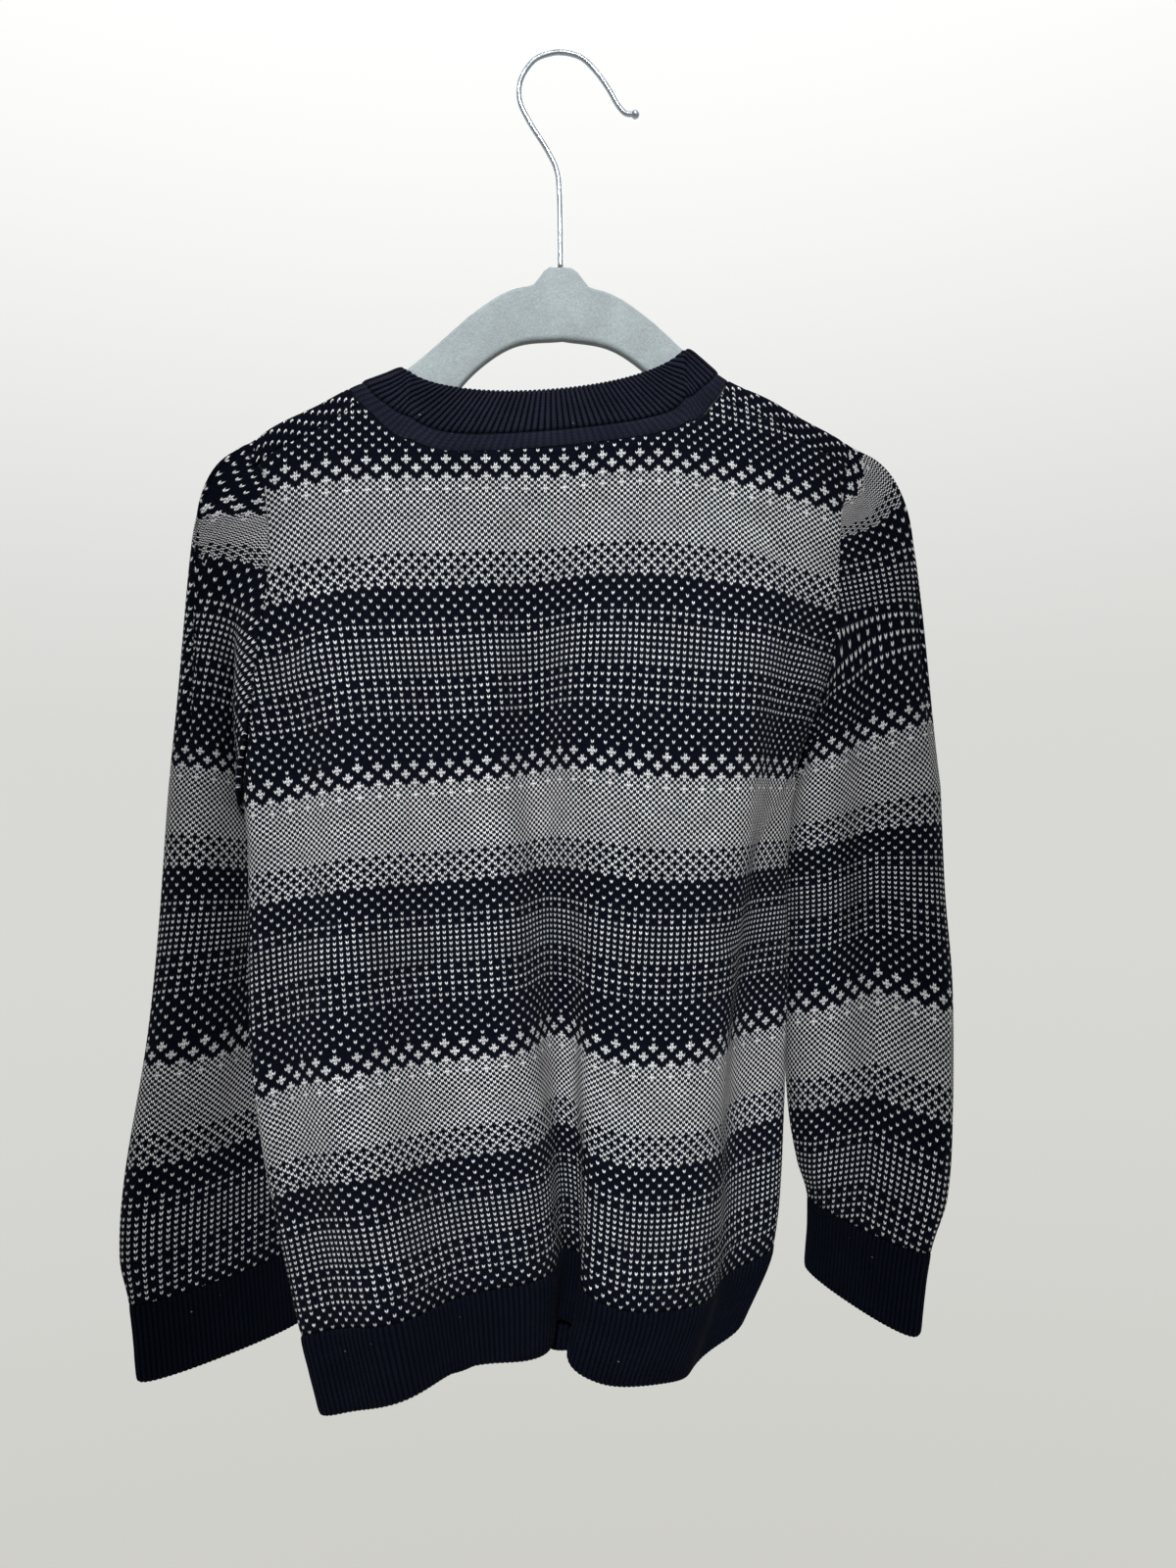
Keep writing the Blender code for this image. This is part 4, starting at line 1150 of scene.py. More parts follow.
def panel_shell(side):
    """Grids of a body panel with its creases pressed in and its edges rolled."""
    flat_grids = [panel_flats(side)]
    if side == FRONT:
        flat_grids += [shoulder_flats(-1), shoulder_flats(1)]
    grids = []
    for flats in flat_grids:
        places = [[cloth_point(side, *flat) for flat in row] for row in flats]
        normals = normals_of(places, closed=False)
        turned = normals[len(places) // 2][len(places[0]) // 2].y * side < 0
        if flats is not flat_grids[0]:
            turned = normals[NEAR_STEPS][0].z < 0
        pressed = []
        for row, flat_row, normal_row in zip(places, flats, normals):
            line = []
            for place, flat, normal in zip(row, flat_row, normal_row):
                edge = min(HALF_WALES, armhole_wale(flat.y)) if flat.y < UNDERARM else HALF_WALES
                to_seam = STITCH * (edge - abs(flat.x))
                to_rib = STITCH * (SECTIONS["rib"][0] - flat.y)
                fade = smoothstep(flat.y / CREASES_FROM) * smoothstep(to_seam / CREASES_IN)
                height = crease_height(side, flat) * fade + SIDE_ROLL * seam_roll(to_seam)
                height += RIB_ROLL * seam_roll(to_rib)
                line.append(place + normal * (-height if turned else height))
            pressed.append(line)
        grids.append((pressed, [[pattern_flat(side, flat) for flat in row] for row in flats]))
    return grids


def knit_panel(side):
    name = SIDE_NAMES[side]
    mesh = join_grids(name + "_knit", panel_shell(side), closed=False)
    weld_and_turn(mesh, lambda place: Vector((0, 0, 1) if place.z > OUTSIDE_UP else (0, side, 0)))
    area = flat_area(mesh) * (STITCH * MM) ** 2
    item = dress(add_piece(mesh, (JACQUARD, JACQUARD_INSIDE)), [name])
    thicken(item)
    return item


knit_back = knit_panel(BACK)
knit_front = knit_panel(FRONT)

# %% [markdown]
# ## Sleeves
#
# A sleeve is a tube that starts at the armhole's own points, leaves the body in the direction
# in which the body's cloth arrives there, and then passes through a few flattened rings down
# to the cuff. The hanger's end pushes the top of the cap up. A crease runs down its back.
#
# The stitches need care: on a real sleeve the wales run straight down and the stripes straight
# across, also over the cap. So the tube is slit under the arm and laid flat with Blender's
# unwrap, which is just what its cut looks like, and that flat shape is then turned and scaled
# so that one unit is one stitch.

# %% State the sleeves' sizes
SLEEVES = {
    -1: (
        # name            outer x, y, z         inner x, y, z        half depth, crease
        ("upper arm",   (-196, -6, -402),     (-170, 50, -414),     17, 0),
        ("above elbow", (-200, -6, -452),     (-167, 46, -458),     18, 2),
        ("elbow",       (-208, -5, -508),     (-160, 42, -508),     17, 3),
        ("forearm",     (-219, -2, -566),     (-156, 40, -560),     16, 2),
        ("gather",      (-222, 0, -604),      (-152, 38, -594),     15, 1),
        ("cuff seam",   (-218, 0, -624),      (-149, 36, -612),     11, 0),
        ("cuff end",    (-214, -2, -657),     (-146, 34, -646),     10, 0),
    ),
    1: (
        ("upper arm",   (179, -6, -396),      (118, 44, -410),      24, 7),
        ("above elbow", (177, -8, -450),      (113, 48, -458),      20, 9),
        ("elbow",       (178, -8, -498),      (110, 48, -500),      18, 6),
        ("forearm",     (174, -8, -560),      (109, 46, -556),      16, 3),
        ("gather",      (168, -8, -602),      (112, 44, -588),      14, 2),
        ("cuff seam",   (158, -8, -626),      (116, 42, -607),      10, 0),
        ("cuff end",    (149, -10, -664),     (112, 40, -642),       9, 0),
    ),
}
STATION_KNOTS = [0, 1, 2, 3, 4, 4.5, 5.3]
CUFF_SEAM, CUFF_END = STATION_KNOTS[5:]
CUFF_GAP = GAP / 60       # half of the gap at the cuff's seam, counted in stations
# Line of a cap over the hanger's end: distance from the hanger's middle, height.
CREST = ((160, -223), (168.5, -235), (174.5, -249), (178.5, -265), (181, -290))
GROOVE_AT, GROOVE_HALF = -0.2, 0.5        # the long crease, across a sleeve's half width
# Way in which a cap's underside leaves the seam, to keep clear of the body.
UNDERSIDE_WAY = {-1: (-0.25, 0.80, -0.40), 1: (0.90, 0.0, -0.50)}
UNDER_FROM, UNDER_OVER = 0.66, 0.30       # shares of the way round where the underside begins
SEAM_AIR, UNDERARM_AIR = 0.05, 0.6
LEAVE_PACE, LEAST_PACE = 0.75, 16.0       # how straight a cap leaves its seam
RING_SPREAD = 0.8
RING_END, RING_FACE = 0.9, 0.85           # below 1, a flattened ring has fuller ends and faces
CAP_ROWS = 40
CAP_CROWDING = 1.35       # rings of the cap are closer together at the armhole
CREST_REACH = 0.55        # share of the way round over which the hanger's end lifts the cap
SLEEVE_ROWS = 84
SLEEVE_SIDES = {-1: "left", 1: "right"}
print("a sleeve's rings:", CAP_ROWS, "in the cap and", SLEEVE_ROWS + 1, "below")


# %% The armhole's ring
def armhole_sample(side, hand, wale, course):
    """Edge point of a panel and the direction that leaves the panel there."""
    low = hand * (armhole_wale(course - 0.5) - HOLD_BACK), course - 0.5
    high = hand * (armhole_wale(course + 0.5) - HOLD_BACK), course + 0.5
    edge = (cloth_point(side, *high) - cloth_point(side, *low)).normalized()
    here = cloth_point(side, wale, course)
    inward = cloth_point(side, wale - hand * 2, course) - here
    return here, (edge * inward.dot(edge) - inward).normalized()


def armhole_rows(side, hand):
    """Samples down one panel's armhole, from the fold-over line to the underarm."""
    cloths = near_fold(side)[:-1]
    if side == BACK:
        cloths = [-cloth for cloth in near_fold(BACK)]
    flats = [flat_point(FRONT, armhole_x(FRONT, hand, cloth), cloth) for cloth in cloths]
    samples = [armhole_sample(FRONT, hand, *flat) for flat in flats]
    for share in evenly(0, 1, TOP_ROWS)[1 if side == BACK else 0:]:
        samples.append(armhole_sample(side, hand, *side_edge(side, hand, share)))
    return samples


def armhole_seam(hand):
    """Ring of armhole samples: from the fold down the back, under the arm and up the front."""
    back, front = armhole_rows(BACK, hand), armhole_rows(FRONT, hand)
    return back + front[-2:0:-1], len(back) - 1


def ring_turns(seam, under):
    """Share of the way round from the fold-over (0) to the underarm (1) of each ring point."""
    falling = lengths_along([place for place, _ in seam[:under + 1]])
    rising = lengths_along([place for place, _ in (seam + seam[:1])[:under - 1:-1]])
    turns = [length / falling[-1] for length in falling]
    return turns + [length / rising[-1] for length in reversed(rising[1:-1])]


print("points round an armhole:", len(armhole_seam(-1)[0]))


# %% Rings of a sleeve
def sleeve_ring(outer, inner, half_depth, groove, turns, under):
    """Flattened ring from its outer end round by the back to its inner end and on by the front."""
    outer, inner = Vector(outer), Vector(inner)
    middle, reach = (outer + inner) / 2, (outer - inner) / 2
    level = Vector((reach.x, reach.y, 0)).normalized()
    deep = Vector((level.y, -level.x, 0))
    if deep.y > 0:
        deep = -deep
    ring = []
    for k, turn in enumerate(turns):
        angle = math.pi * turn ** RING_SPREAD
        across = math.copysign(abs(math.cos(angle)) ** RING_END, math.cos(angle))
        depth = half_depth * max(math.sin(angle), 0.0) ** RING_FACE
        if k <= under:
            depth -= groove * hump((across - GROOVE_AT) / GROOVE_HALF)
        ring.append(middle + reach * across + deep * (depth if k <= under else -depth))
    return ring


def cap_point(hand, start, leave, goal, arrive, turn, t):
    """Point of the sleeve cap between the armhole and the upper arm."""
    low = smoothstep((turn - UNDER_FROM) / UNDER_OVER)
    aside = hand * (WALL + GAP + UNDERARM_AIR) * low
    start = start + leave * (GAP + SEAM_AIR) + Vector((aside, 0, 0))
    leave = (leave * (1 - low) + Vector(UNDERSIDE_WAY[hand]) * low).normalized()
    reach = (goal - start).length
    return cubic(start, leave * max(reach * LEAVE_PACE, LEAST_PACE), goal, arrive * reach, t)


def sleeve_stations(hand, turns, under):
    return [sleeve_ring(*row[1:], turns, under) for row in SLEEVES[hand]]


def station_ring(stations, at):
    """Ring of a sleeve between its stations."""
    return [spline(STATION_KNOTS, list(column), at) for column in zip(*stations)]


def sleeve_rows(hand):
    """Rings of a sleeve from the armhole seam to the cuff seam."""
    seam, under = armhole_seam(hand)
    turns = ring_turns(seam, under)
    stations = sleeve_stations(hand, turns, under)
    crest = [seam[0][0] + seam[0][1] * GAP]
    crest += [Vector((HANGER_X + hand * distance, 0, z)) for distance, z in CREST]
    crest += [stations[0][0]]
    crest_knots = lengths_along(crest)
    arrivals = [(b - a).normalized() for a, b in zip(stations[0], stations[1])]
    rows = []
    for r in range(CAP_ROWS):
        t = (r / CAP_ROWS) ** CAP_CROWDING
        row = [cap_point(hand, *seam[k], stations[0][k], arrivals[k], turn, t)
               for k, turn in enumerate(turns)]
        pull = spline(crest_knots, crest, crest_knots[-1] * t) - row[0]
        rows.append([point + pull * hump(turn / CREST_REACH) for point, turn in zip(row, turns)])
    for at in evenly(0, CUFF_SEAM - CUFF_GAP, SLEEVE_ROWS):
        rows.append(station_ring(stations, at))
    return rows, len(turns), under


print("stations:", ", ".join(row[0] for row in SLEEVES[1]))

# %% [markdown]
# The slit tube is laid flat by the unwrap, which keeps angles. What it gives has any size and
# any turn, so three facts put it right: a sleeve's cloth has the same number of stitches as its
# area in the round, its crest line runs straight down, and the second row of stars crosses the
# sleeve at a known height.

# %% Lay a sleeve flat and count its stitches
SLEEVE_STARS_Z = {-1: -372.0, 1: -352.0}     # height of the second star row on the crest line
BESIDE = 4                # a column that lies to one side of the crest line


def unwrap_slit(mesh, width, under):
    """Unwrap a tube of rings, slit along its column under the arm."""
    item = bpy.data.objects.new("slit tube", mesh)
    bpy.context.scene.collection.objects.link(item)
    for edge in mesh.edges:
        a, b = (vertex % width for vertex in edge.vertices)
        edge.use_seam = a == b == under
    bpy.ops.object.select_all(action="DESELECT")
    item.select_set(True)
    bpy.context.view_layer.objects.active = item
    bpy.ops.object.mode_set(mode="EDIT")
    bpy.ops.mesh.select_all(action="SELECT")
    bpy.ops.uv.unwrap(method="ANGLE_BASED", margin=0.0, correct_aspect=False)
    bpy.ops.object.mode_set(mode="OBJECT")
    bpy.data.objects.remove(item)


def count_sleeve_stitches(mesh, rows, width, hand):
    """Turn, scale and place the flat shape so that its UVs are wales and courses."""
    corners = mesh.uv_layers["stitches"].data
    flats = {loop.vertex_index: corners[loop.index].uv.copy() for loop in mesh.loops}
    round_area = sum(face.area for face in mesh.polygons) / (STITCH * MM) ** 2
    scale = math.sqrt(round_area / flat_area(mesh))
    high, low = flats[CAP_ROWS * width], flats[(len(rows) - 1) * width]
    down = (low - high).normalized()
    across = Vector((down.y, -down.x))
    if (flats[CAP_ROWS * width + BESIDE] - high).dot(across) * -hand < 0:
        across = -across
    stars_row = min(range(len(rows)), key=lambda r: abs(rows[r][0].z - SLEEVE_STARS_Z[hand]))
    origin = flats[stars_row * width]
    for corner in corners:
        off = (corner.uv - origin) * scale
        corner.uv = (off.dot(across), off.dot(down) + REPEAT)


print("the second stars are", REPEAT, "courses below the first")

# %% Fit the chart to a sleeve
# A cap's cloth is pushed together over the hanger's end, and more so at its crest than at its
# seam, so the chart's courses are met at other counted courses along these two lines.
SLEEVE_CHART = (
    # place         chart    left crest, seam    right crest, seam
    ("top",          -50,        -30,  -43,          -39,  -31),
    ("first stars",    0,         20,    7,           11,   19),
    ("pale edge",      8,         26,   13,           17,   27),
    ("dark dots",     43,         33,   29,           33,   38),
    ("mid band",      72,         64,   64,           64,   64),
    ("second stars",  98,         98,   98,           98,   98),
    ("third stars",  196,        196,  196,          196,  196),
    ("cuff",         296,        280,  280,          296,  296),
)
CREST_WALE, CREST_TO_SEAM = {-1: -12.0, 1: 0.0}, {-1: 18.0, 1: 15.0}
LEFT_TILT = 0.25          # the left sleeve's lower stripes rise towards the body by this slope
LOW_FROM, LOW_OVER = 120, 70              # courses over which the sleeve's lower part begins
# The right sleeve's crease pulls its stripes out of level: courses by which the pattern is up.
RIGHT_PULL = (
    # wale   second stars  third stars
    (-60,      -14.0,        -6.0),
    (-45,      -12.0,        -3.0),
    (-24,       -6.0,         6.0),
    (0,          0.0,         0.0),
    (30,         0.0,         0.0),
)
PULL_FROM, PULL_OVER = 60, 30             # courses over which that pull begins


def read_lines(knots, values, at):
    """Value of a table at some place, on straight lines between its rows."""
    k = 0
    while k < len(knots) - 2 and at > knots[k + 1]:
        k += 1
    return values[k] + (values[k + 1] - values[k]) * (at - knots[k]) / (knots[k + 1] - knots[k])


def follow_chart(mesh, hand):
    """Move the UVs from counted courses to the courses of the chart."""
    chart, wales = column_of(SLEEVE_CHART, 1), column_of(RIGHT_PULL, 0)
    crest, seam = (column_of(SLEEVE_CHART, k) for k in ((2, 3) if hand < 0 else (4, 5)))
    for corner in mesh.uv_layers["stitches"].data:
        wale, course = corner.uv
        off = min(abs(wale - CREST_WALE[hand]) / CREST_TO_SEAM[hand], 1)
        counted = [(1 - off) * a + off * b for a, b in zip(crest, seam)]
        low = smoothstep((course - LOW_FROM) / LOW_OVER)
        if hand < 0:
            tilt = LEFT_TILT * wale * low
        else:
            second, third = (read_lines(wales, column_of(RIGHT_PULL, k), wale) for k in (1, 2))
            tilt = (1 - low) * second + low * third
            tilt *= smoothstep((course - PULL_FROM) / PULL_OVER)
        corner.uv = (wale, read_lines(counted, chart, course) + tilt)


print("a sleeve's chart runs over", SLEEVE_CHART[-1][1] - SLEEVE_CHART[0][1], "courses")


# %% Knit the sleeves
def knit_sleeve(hand):
    name = "sleeve_" + SLEEVE_SIDES[hand]
    rows, width, under = sleeve_rows(hand)
    counts = [[Vector((c, r)) for c in range(width)] for r in range(len(rows))]
    mesh = join_grids(name + "_knit", [(rows, counts)], closed=True)
    unwrap_slit(mesh, width, under)
    count_sleeve_stitches(mesh, rows, width, hand)
    centre = (rows[-1][0] + rows[-1][width // 2]) / 2 * MM
    weld_and_turn(mesh, lambda place: Vector((place.x - centre.x, place.y - centre.y, 0)))
    area = flat_area(mesh) * (STITCH * MM) ** 2
    item = dress(add_piece(mesh, (JACQUARD, JACQUARD_INSIDE)), [name])
    thicken(item)
    follow_chart(mesh, hand)
    return item


knit_sleeves = [knit_sleeve(hand) for hand in (-1, 1)]

# %% [markdown]
# ## Ribbed bands
#
# Neckband, hem and cuffs are knitted in 1 x 1 rib: one wale stands up, the next one hides behind
# it. At this distance each rib reads as a rounded cord with a narrow groove beside it. The
# ribs could be a bump, but their ends show as scallops along the free edges, so they are real.
#
# A band is a closed tube. Its section is a table that goes down the outside, round the free
# edge and back up the plain inside. Each row has its share of the band's width, its distance
# from the middle of the cloth, how much of the ribs' height it takes, and how far it reaches
# past the free edge. The neckband's first 8 mm are the linking strip that is sewn to the body.

# %% State the bands
RIB_POINTS = 8            # points round the band for each rib
BANDS = {
    # name           ribs (mm)  height   width (mm)
    "neckband":     (2.9,       1.15,    28.0),
    "hem_band":     (2.3,       0.60,    39.0),
    "cuff_left":    (2.2,       0.60,    38.0),
    "cuff_right":   (2.2,       0.60,    38.0),
}
NECK_SECTION = (
    # share  offset  ribs  reach
    (0.000,  0.10,   0.00, 0.0),
    (0.010,  0.55,   0.10, 0.0),
    (0.040,  0.85,   0.20, 0.0),
    (0.120,  0.95,   0.25, 0.0),
    (0.200,  0.95,   0.25, 0.0),
    (0.260,  0.80,   0.20, 0.0),
    (0.282,  0.30,   0.05, 0.0),
    (0.288,  0.55,   0.30, 0.0),
    (0.290,  1.30,   0.80, 0.0),
    (0.305,  1.75,   1.00, 0.0),
    (0.350,  1.95,   1.00, 0.0),
    (0.440,  2.00,   1.00, 0.0),
    (0.540,  2.00,   1.00, 0.0),
    (0.640,  2.00,   1.00, 0.0),
    (0.740,  1.95,   1.00, 0.0),
    (0.840,  1.90,   1.00, 0.0),
    (0.910,  1.75,   1.00, 0.0),
    (0.960,  1.45,   1.00, 0.1),
    (0.990,  0.95,   0.90, 0.4),
    (1.000,  0.25,   0.60, 0.7),
    (1.000, -0.45,   0.30, 0.4),
    (0.970, -0.90,   0.00, 0.0),
    (0.700, -1.00,   0.00, 0.0),
    (0.350, -1.00,   0.00, 0.0),
    (0.030, -0.90,   0.00, 0.0),
    (0.000, -0.40,   0.00, 0.0),
)
EDGE_SECTION = (
    (0.000,  0.10,   0.00, 0.0),
    (0.008,  0.70,   0.60, 0.0),
    (0.030,  1.05,   1.00, 0.0),
    (0.100,  1.20,   1.00, 0.0),
    (0.200,  1.20,   1.00, 0.0),
    (0.300,  1.15,   1.00, 0.0),
    (0.400,  1.10,   1.00, 0.0),
    (0.500,  1.10,   1.00, 0.0),
    (0.600,  1.10,   1.00, 0.0),
    (0.700,  1.15,   1.00, 0.0),
    (0.800,  1.15,   1.00, 0.0),
    (0.900,  1.20,   1.00, 0.0),
    (0.960,  1.10,   1.00, 0.0),
    (0.990,  0.75,   0.80, 0.1),
    (1.000,  0.15,   0.40, 0.3),
    (0.990, -0.70,   0.00, 0.0),
    (0.900, -1.00,   0.00, 0.0),
    (0.600, -1.00,   0.00, 0.0),
    (0.300, -1.00,   0.00, 0.0),
    (0.020, -0.90,   0.00, 0.0),
    (0.000, -0.30,   0.00, 0.0),
)
SHARE_STEP = 0.02
MIDDLE_SHARE = 0.6        # where a band's ribs are counted
RIB_ROUND = 0.6           # below 1 the ribs are fuller than a cosine
RIB_WANDER = 0.10         # unevenness from rib to rib
print("rows of a band's section:", len(NECK_SECTION), "at the neck,", len(EDGE_SECTION), "below")


# %% Rings of the bands
CUFF_STEPS = 60           # points along one face of a cuff
CUFF_TURNS = evenly(0, 1, CUFF_STEPS) + evenly(0, 1, CUFF_STEPS)[-2:0:-1]


def neckband_ring(share):
    back = [draped(BACK, *flat) for flat in neck_half(BACK, share, -SEAM_HALF_GAP)]
    front = [draped(FRONT, *flat) for flat in neck_half(FRONT, share, -SEAM_HALF_GAP)]
    return back + front[-2:0:-1]


def hem_ring(share):
    start, end = SECTIONS["rib"][0] + GAP / STITCH, SECTIONS["hem"][0]
    course = start + (end - start) * share
    wales = evenly(-HALF_WALES + HOLD_BACK, HALF_WALES - HOLD_BACK, HALF_WALES)
    back = [cloth_point(BACK, wale, course) for wale in wales]
    front = [cloth_point(FRONT, wale, course) for wale in wales]
    return back + front[-2:0:-1]


def cuff_ring(hand, share):
    at = CUFF_SEAM + CUFF_GAP + (CUFF_END - CUFF_SEAM - CUFF_GAP) * share
    return station_ring(sleeve_stations(hand, CUFF_TURNS, CUFF_STEPS), at)


print("points round the hem:", len(hem_ring(0)), " round a cuff:", len(CUFF_TURNS))


# %% Read a ring at other places
def places_along(ring, count):
    """Places in a closed ring, counted in its points, that divide its length evenly."""
    lengths = lengths_along(ring + ring[:1])
    places, k = [], 0
    for step in range(count):
        goal = lengths[-1] * step / count
        while lengths[k + 1] < goal:
            k += 1
        places.append(k + (goal - lengths[k]) / (lengths[k + 1] - lengths[k]))
    return places


def read_ring(ring, places):
    """Points of a closed ring at places between its own points, on smooth curves."""
    size, points = len(ring), []
    for place in places:
        k = int(place)
        a, b, c, d = (ring[(k + j) % size] for j in (-1, 0, 1, 2))
        points.append(cubic(b, (c - a) / 2, c, (d - b) / 2, place - k))
    return points


square = [Vector(corner) for corner in ((0, 0, 0), (1, 0, 0), (1, 1, 0), (0, 1, 0))]
print("a square in six parts:", [round(place, 2) for place in places_along(square, 6)])


# %% Build a ribbed band
def rib_height(phase):
    """Height of a rib: 1 along its middle, 0 in the groove half a rib away."""
    return abs(math.cos(math.pi * phase)) ** RIB_ROUND


def band_rows(make_ring, section, pitch, height):
    """Rings of points of a band's whole surface, one for each row of its section."""
    middle = make_ring(MIDDLE_SHARE)
    ribs = round(lengths_along(middle + middle[:1])[-1] / pitch)
    places = places_along(middle, ribs * RIB_POINTS)
    centre = sum(middle, Vector()) / len(middle)
    rows = []
    for share, offset, weight, reach in section:
        ring = read_ring(make_ring(share), places)
        over = read_ring(make_ring(share - SHARE_STEP), places)
        under = read_ring(make_ring(share + SHARE_STEP), places)
        row = []
        for k, point in enumerate(ring):
            down = (under[k] - over[k]).normalized()
            normal = (ring[(k + 1) % len(ring)] - ring[k - 1]).cross(down).normalized()
            phase = k / RIB_POINTS
            rib = rib_height(phase)
            wander = RIB_WANDER * noise.noise(Vector((round(phase) * 0.7, 6 * share, ribs)))
            out = offset - height * weight * (1 - rib) + wander * weight
            row.append((point + down * (reach * rib), normal * out))
        rows.append(row)
    side = sum(way.dot(point - centre) for point, way in rows[len(rows) // 3])
    sign = 1 if side > 0 else -1
    return [[point + way * sign for point, way in row] for row in rows], ribs


def band_mesh(name, rows, section, width):
    """Closed tube from a band's rows, with ribs and courses as its UV map."""
    size = len(rows[0])
    points = [point * MM for row in rows for point in row]
    faces, corners = [], []
    for r in range(len(rows)):
        below = (r + 1) % len(rows)
        top, low = section[r][0] * width / STITCH, section[below][0] * width / STITCH
        for c in range(size):
            d = (c + 1) % size
            faces.append((r * size + c, r * size + d, below * size + d, below * size + c))
            left, right = c / RIB_POINTS, (c + 1) / RIB_POINTS
            corners.append(((left, top), (right, top), (right, low), (left, low)))
    mesh = bpy.data.meshes.new(name)
    mesh.from_pydata(points, [], faces)
    stitches = mesh.uv_layers.new(name="stitches")
    for face, uvs in zip(mesh.polygons, corners):
        for loop, uv in zip(face.loop_indices, uvs):
            stitches.data[loop].uv = uv
    turn_outward(mesh)
    return mesh


print("a rib half way to its groove has", round(rib_height(0.25), 2), "of its height")

# %% [markdown]
# ## The rib's material
#
# The ribs are all navy, so what shows is their relief, the stitches on each rib and, here and
# there, a fleck of pale lint caught in the yarn. The grooves and the gaps between the stitches'
# legs are painted darker, as painted shade, because light hardly reaches the purl wales in them.

# %% Make the rib
# The first colour is painted shade, for the grooves and the gaps between the stitches' legs; the
# lit ones are the yarn where it is lit.
RIB_SHADE = (0.0005, 0.0008, 0.0020, 1)
NECK_LIT = (0.0190, 0.0225, 0.0380, 1)
EDGE_LIT = (0.0040, 0.0060, 0.0135, 1)      # the hem's and cuffs' finer rib holds more shade
LINT = (0.22, 0.23, 0.25, 1)
STRIP_COURSES = 5.3       # the neckband's linking strip is plain
NO_STRIP = -1.0
FLECK_SCALE, FLECK_SIZE = 0.16, 0.035     # per stitch


def make_rib(name, lit, plain_courses):
    material, tree, shader = start_material(name, 0.92, 0.008, YARN_BLOOM)
    yarn = read_stitches(tree, 0.22)
    wale, course = split_stitches(tree, yarn["Stitches"])
    leg = place_group(tree, STITCH_GROUP, Wale=wale, Course=course)["Leg"]
    off = calc(tree, "PINGPONG", wale, 0.5)
    ridge = calc(tree, "SUBTRACT", 1.0, calc(tree, "MULTIPLY", off, 2.0))
    plain = calc(tree, "LESS_THAN", course, plain_courses)
    ridge = calc(tree, "MAXIMUM", ridge, calc(tree, "MULTIPLY", plain, 0.5))
    # Painted shade: darker between the legs and in the grooves, less so in the neckband's plain
    # strip.
    shade = calc(tree, "MULTIPLY", ranged(tree, leg, 0.0, 0.8, 0.45, 1.0),
                 ranged(tree, ridge, 0.1, 0.8, 0.0, 1.0))
    worn = ranged(tree, yarn["Patches"], 0.3, 0.7, 0.7, 1.1)
    color = blend_colors(tree, calc(tree, "MULTIPLY", shade, worn), RIB_SHADE, lit)
    fleck = tree.nodes.new("ShaderNodeTexVoronoi")
    fleck.inputs["Scale"].default_value = FLECK_SCALE
    fleck.inputs["Randomness"].default_value = 1.0
    tree.links.new(yarn["Stitches"], fleck.inputs["Vector"])
    near = calc(tree, "LESS_THAN", fleck.outputs["Distance"], FLECK_SIZE)
    lint = calc(tree, "MULTIPLY", near, 0.6)
    tree.links.new(blend_colors(tree, lint, color, LINT), shader.inputs["Base Color"])
    add_bump(tree, shader, leg, 0.25)
    return material


NECK_RIB = make_rib("navy rib knit", NECK_LIT, STRIP_COURSES)
EDGE_RIB = make_rib("fine navy rib knit", EDGE_LIT, NO_STRIP)
print("built", NECK_RIB.name, "and", EDGE_RIB.name)


# %% Knit the bands
def knit_band(name, make_ring, section):
    pitch, height, width = BANDS[name]
    rows, ribs = band_rows(make_ring, section, pitch, height)
    mesh = band_mesh(name + "_knit", rows, section, width)
    material = NECK_RIB if name == "neckband" else EDGE_RIB
    item = dress(add_piece(mesh, (material,)), [name])
    print(f"{name}: {ribs} ribs, {len(mesh.polygons)} faces,"
          f" cut {ribs * pitch:.0f} x {width:.0f} mm")
    return item


knit_bands = [
    knit_band("neckband", neckband_ring, NECK_SECTION),
    knit_band("hem_band", hem_ring, EDGE_SECTION),
    knit_band("cuff_left", functools.partial(cuff_ring, -1), EDGE_SECTION),
    knit_band("cuff_right", functools.partial(cuff_ring, 1), EDGE_SECTION),
]

# %% [markdown]
# ## The hanger
#
# The hanger is moulded plastic under a thin velvety flock, a flat bow with rounded edges and a
# short socket for the wire. It is lofted from upright slices, each a rounded bar whose two
# heights come from the hanger's table. Flock is a felt of very short fibres: matt, pale at
# grazing angles, and speckled.

# %% Make the flock
FLOCK_DARK, FLOCK_LIGHT = (0.255, 0.296, 0.308, 1), (0.360, 0.404, 0.416, 1)
FLOCK_BLOOM = (0.90, 0.95, 0.97, 1)
FIBRE_SCALE, CLOUD_SCALE = 1500.0, 60.0


def make_flock():
    material, tree, shader = start_material("pale grey flock", 0.95, 0.25, FLOCK_BLOOM)
    places = tree.nodes.new("ShaderNodeTexCoord").outputs["Object"]
    grain = add_noise(tree, places, FIBRE_SCALE, 2.0)["Fac"]
    cloud = add_noise(tree, places, CLOUD_SCALE, 3.0)["Fac"]
    fibres = ranged(tree, grain, 0.3, 0.7, 0.0, 1.0)
    color = blend_colors(tree, fibres, FLOCK_DARK, FLOCK_LIGHT)
    rubbed = ranged(tree, cloud, 0.3, 0.7, 0.9, 1.06)
    tree.links.new(blend_colors(tree, 1.0, color, rubbed, "MULTIPLY"), shader.inputs["Base Color"])
    add_bump(tree, shader, grain, 0.12)
    return material


FLOCK = make_flock()
print("built", FLOCK.name)

# %% Loft the hanger
HANGER_STATIONS = 150
CORNER_STEPS = 8
STUB_HALF, STUB_TOP = 9.0, -120.0         # the wire's socket
STUB_SLOPE = (0.6, 1.8)
END_TAPER, END_BLUNT = 3.0, 0.12          # how the bar thins at its ends
END_STOP = 0.2            # the last slice's distance from the end


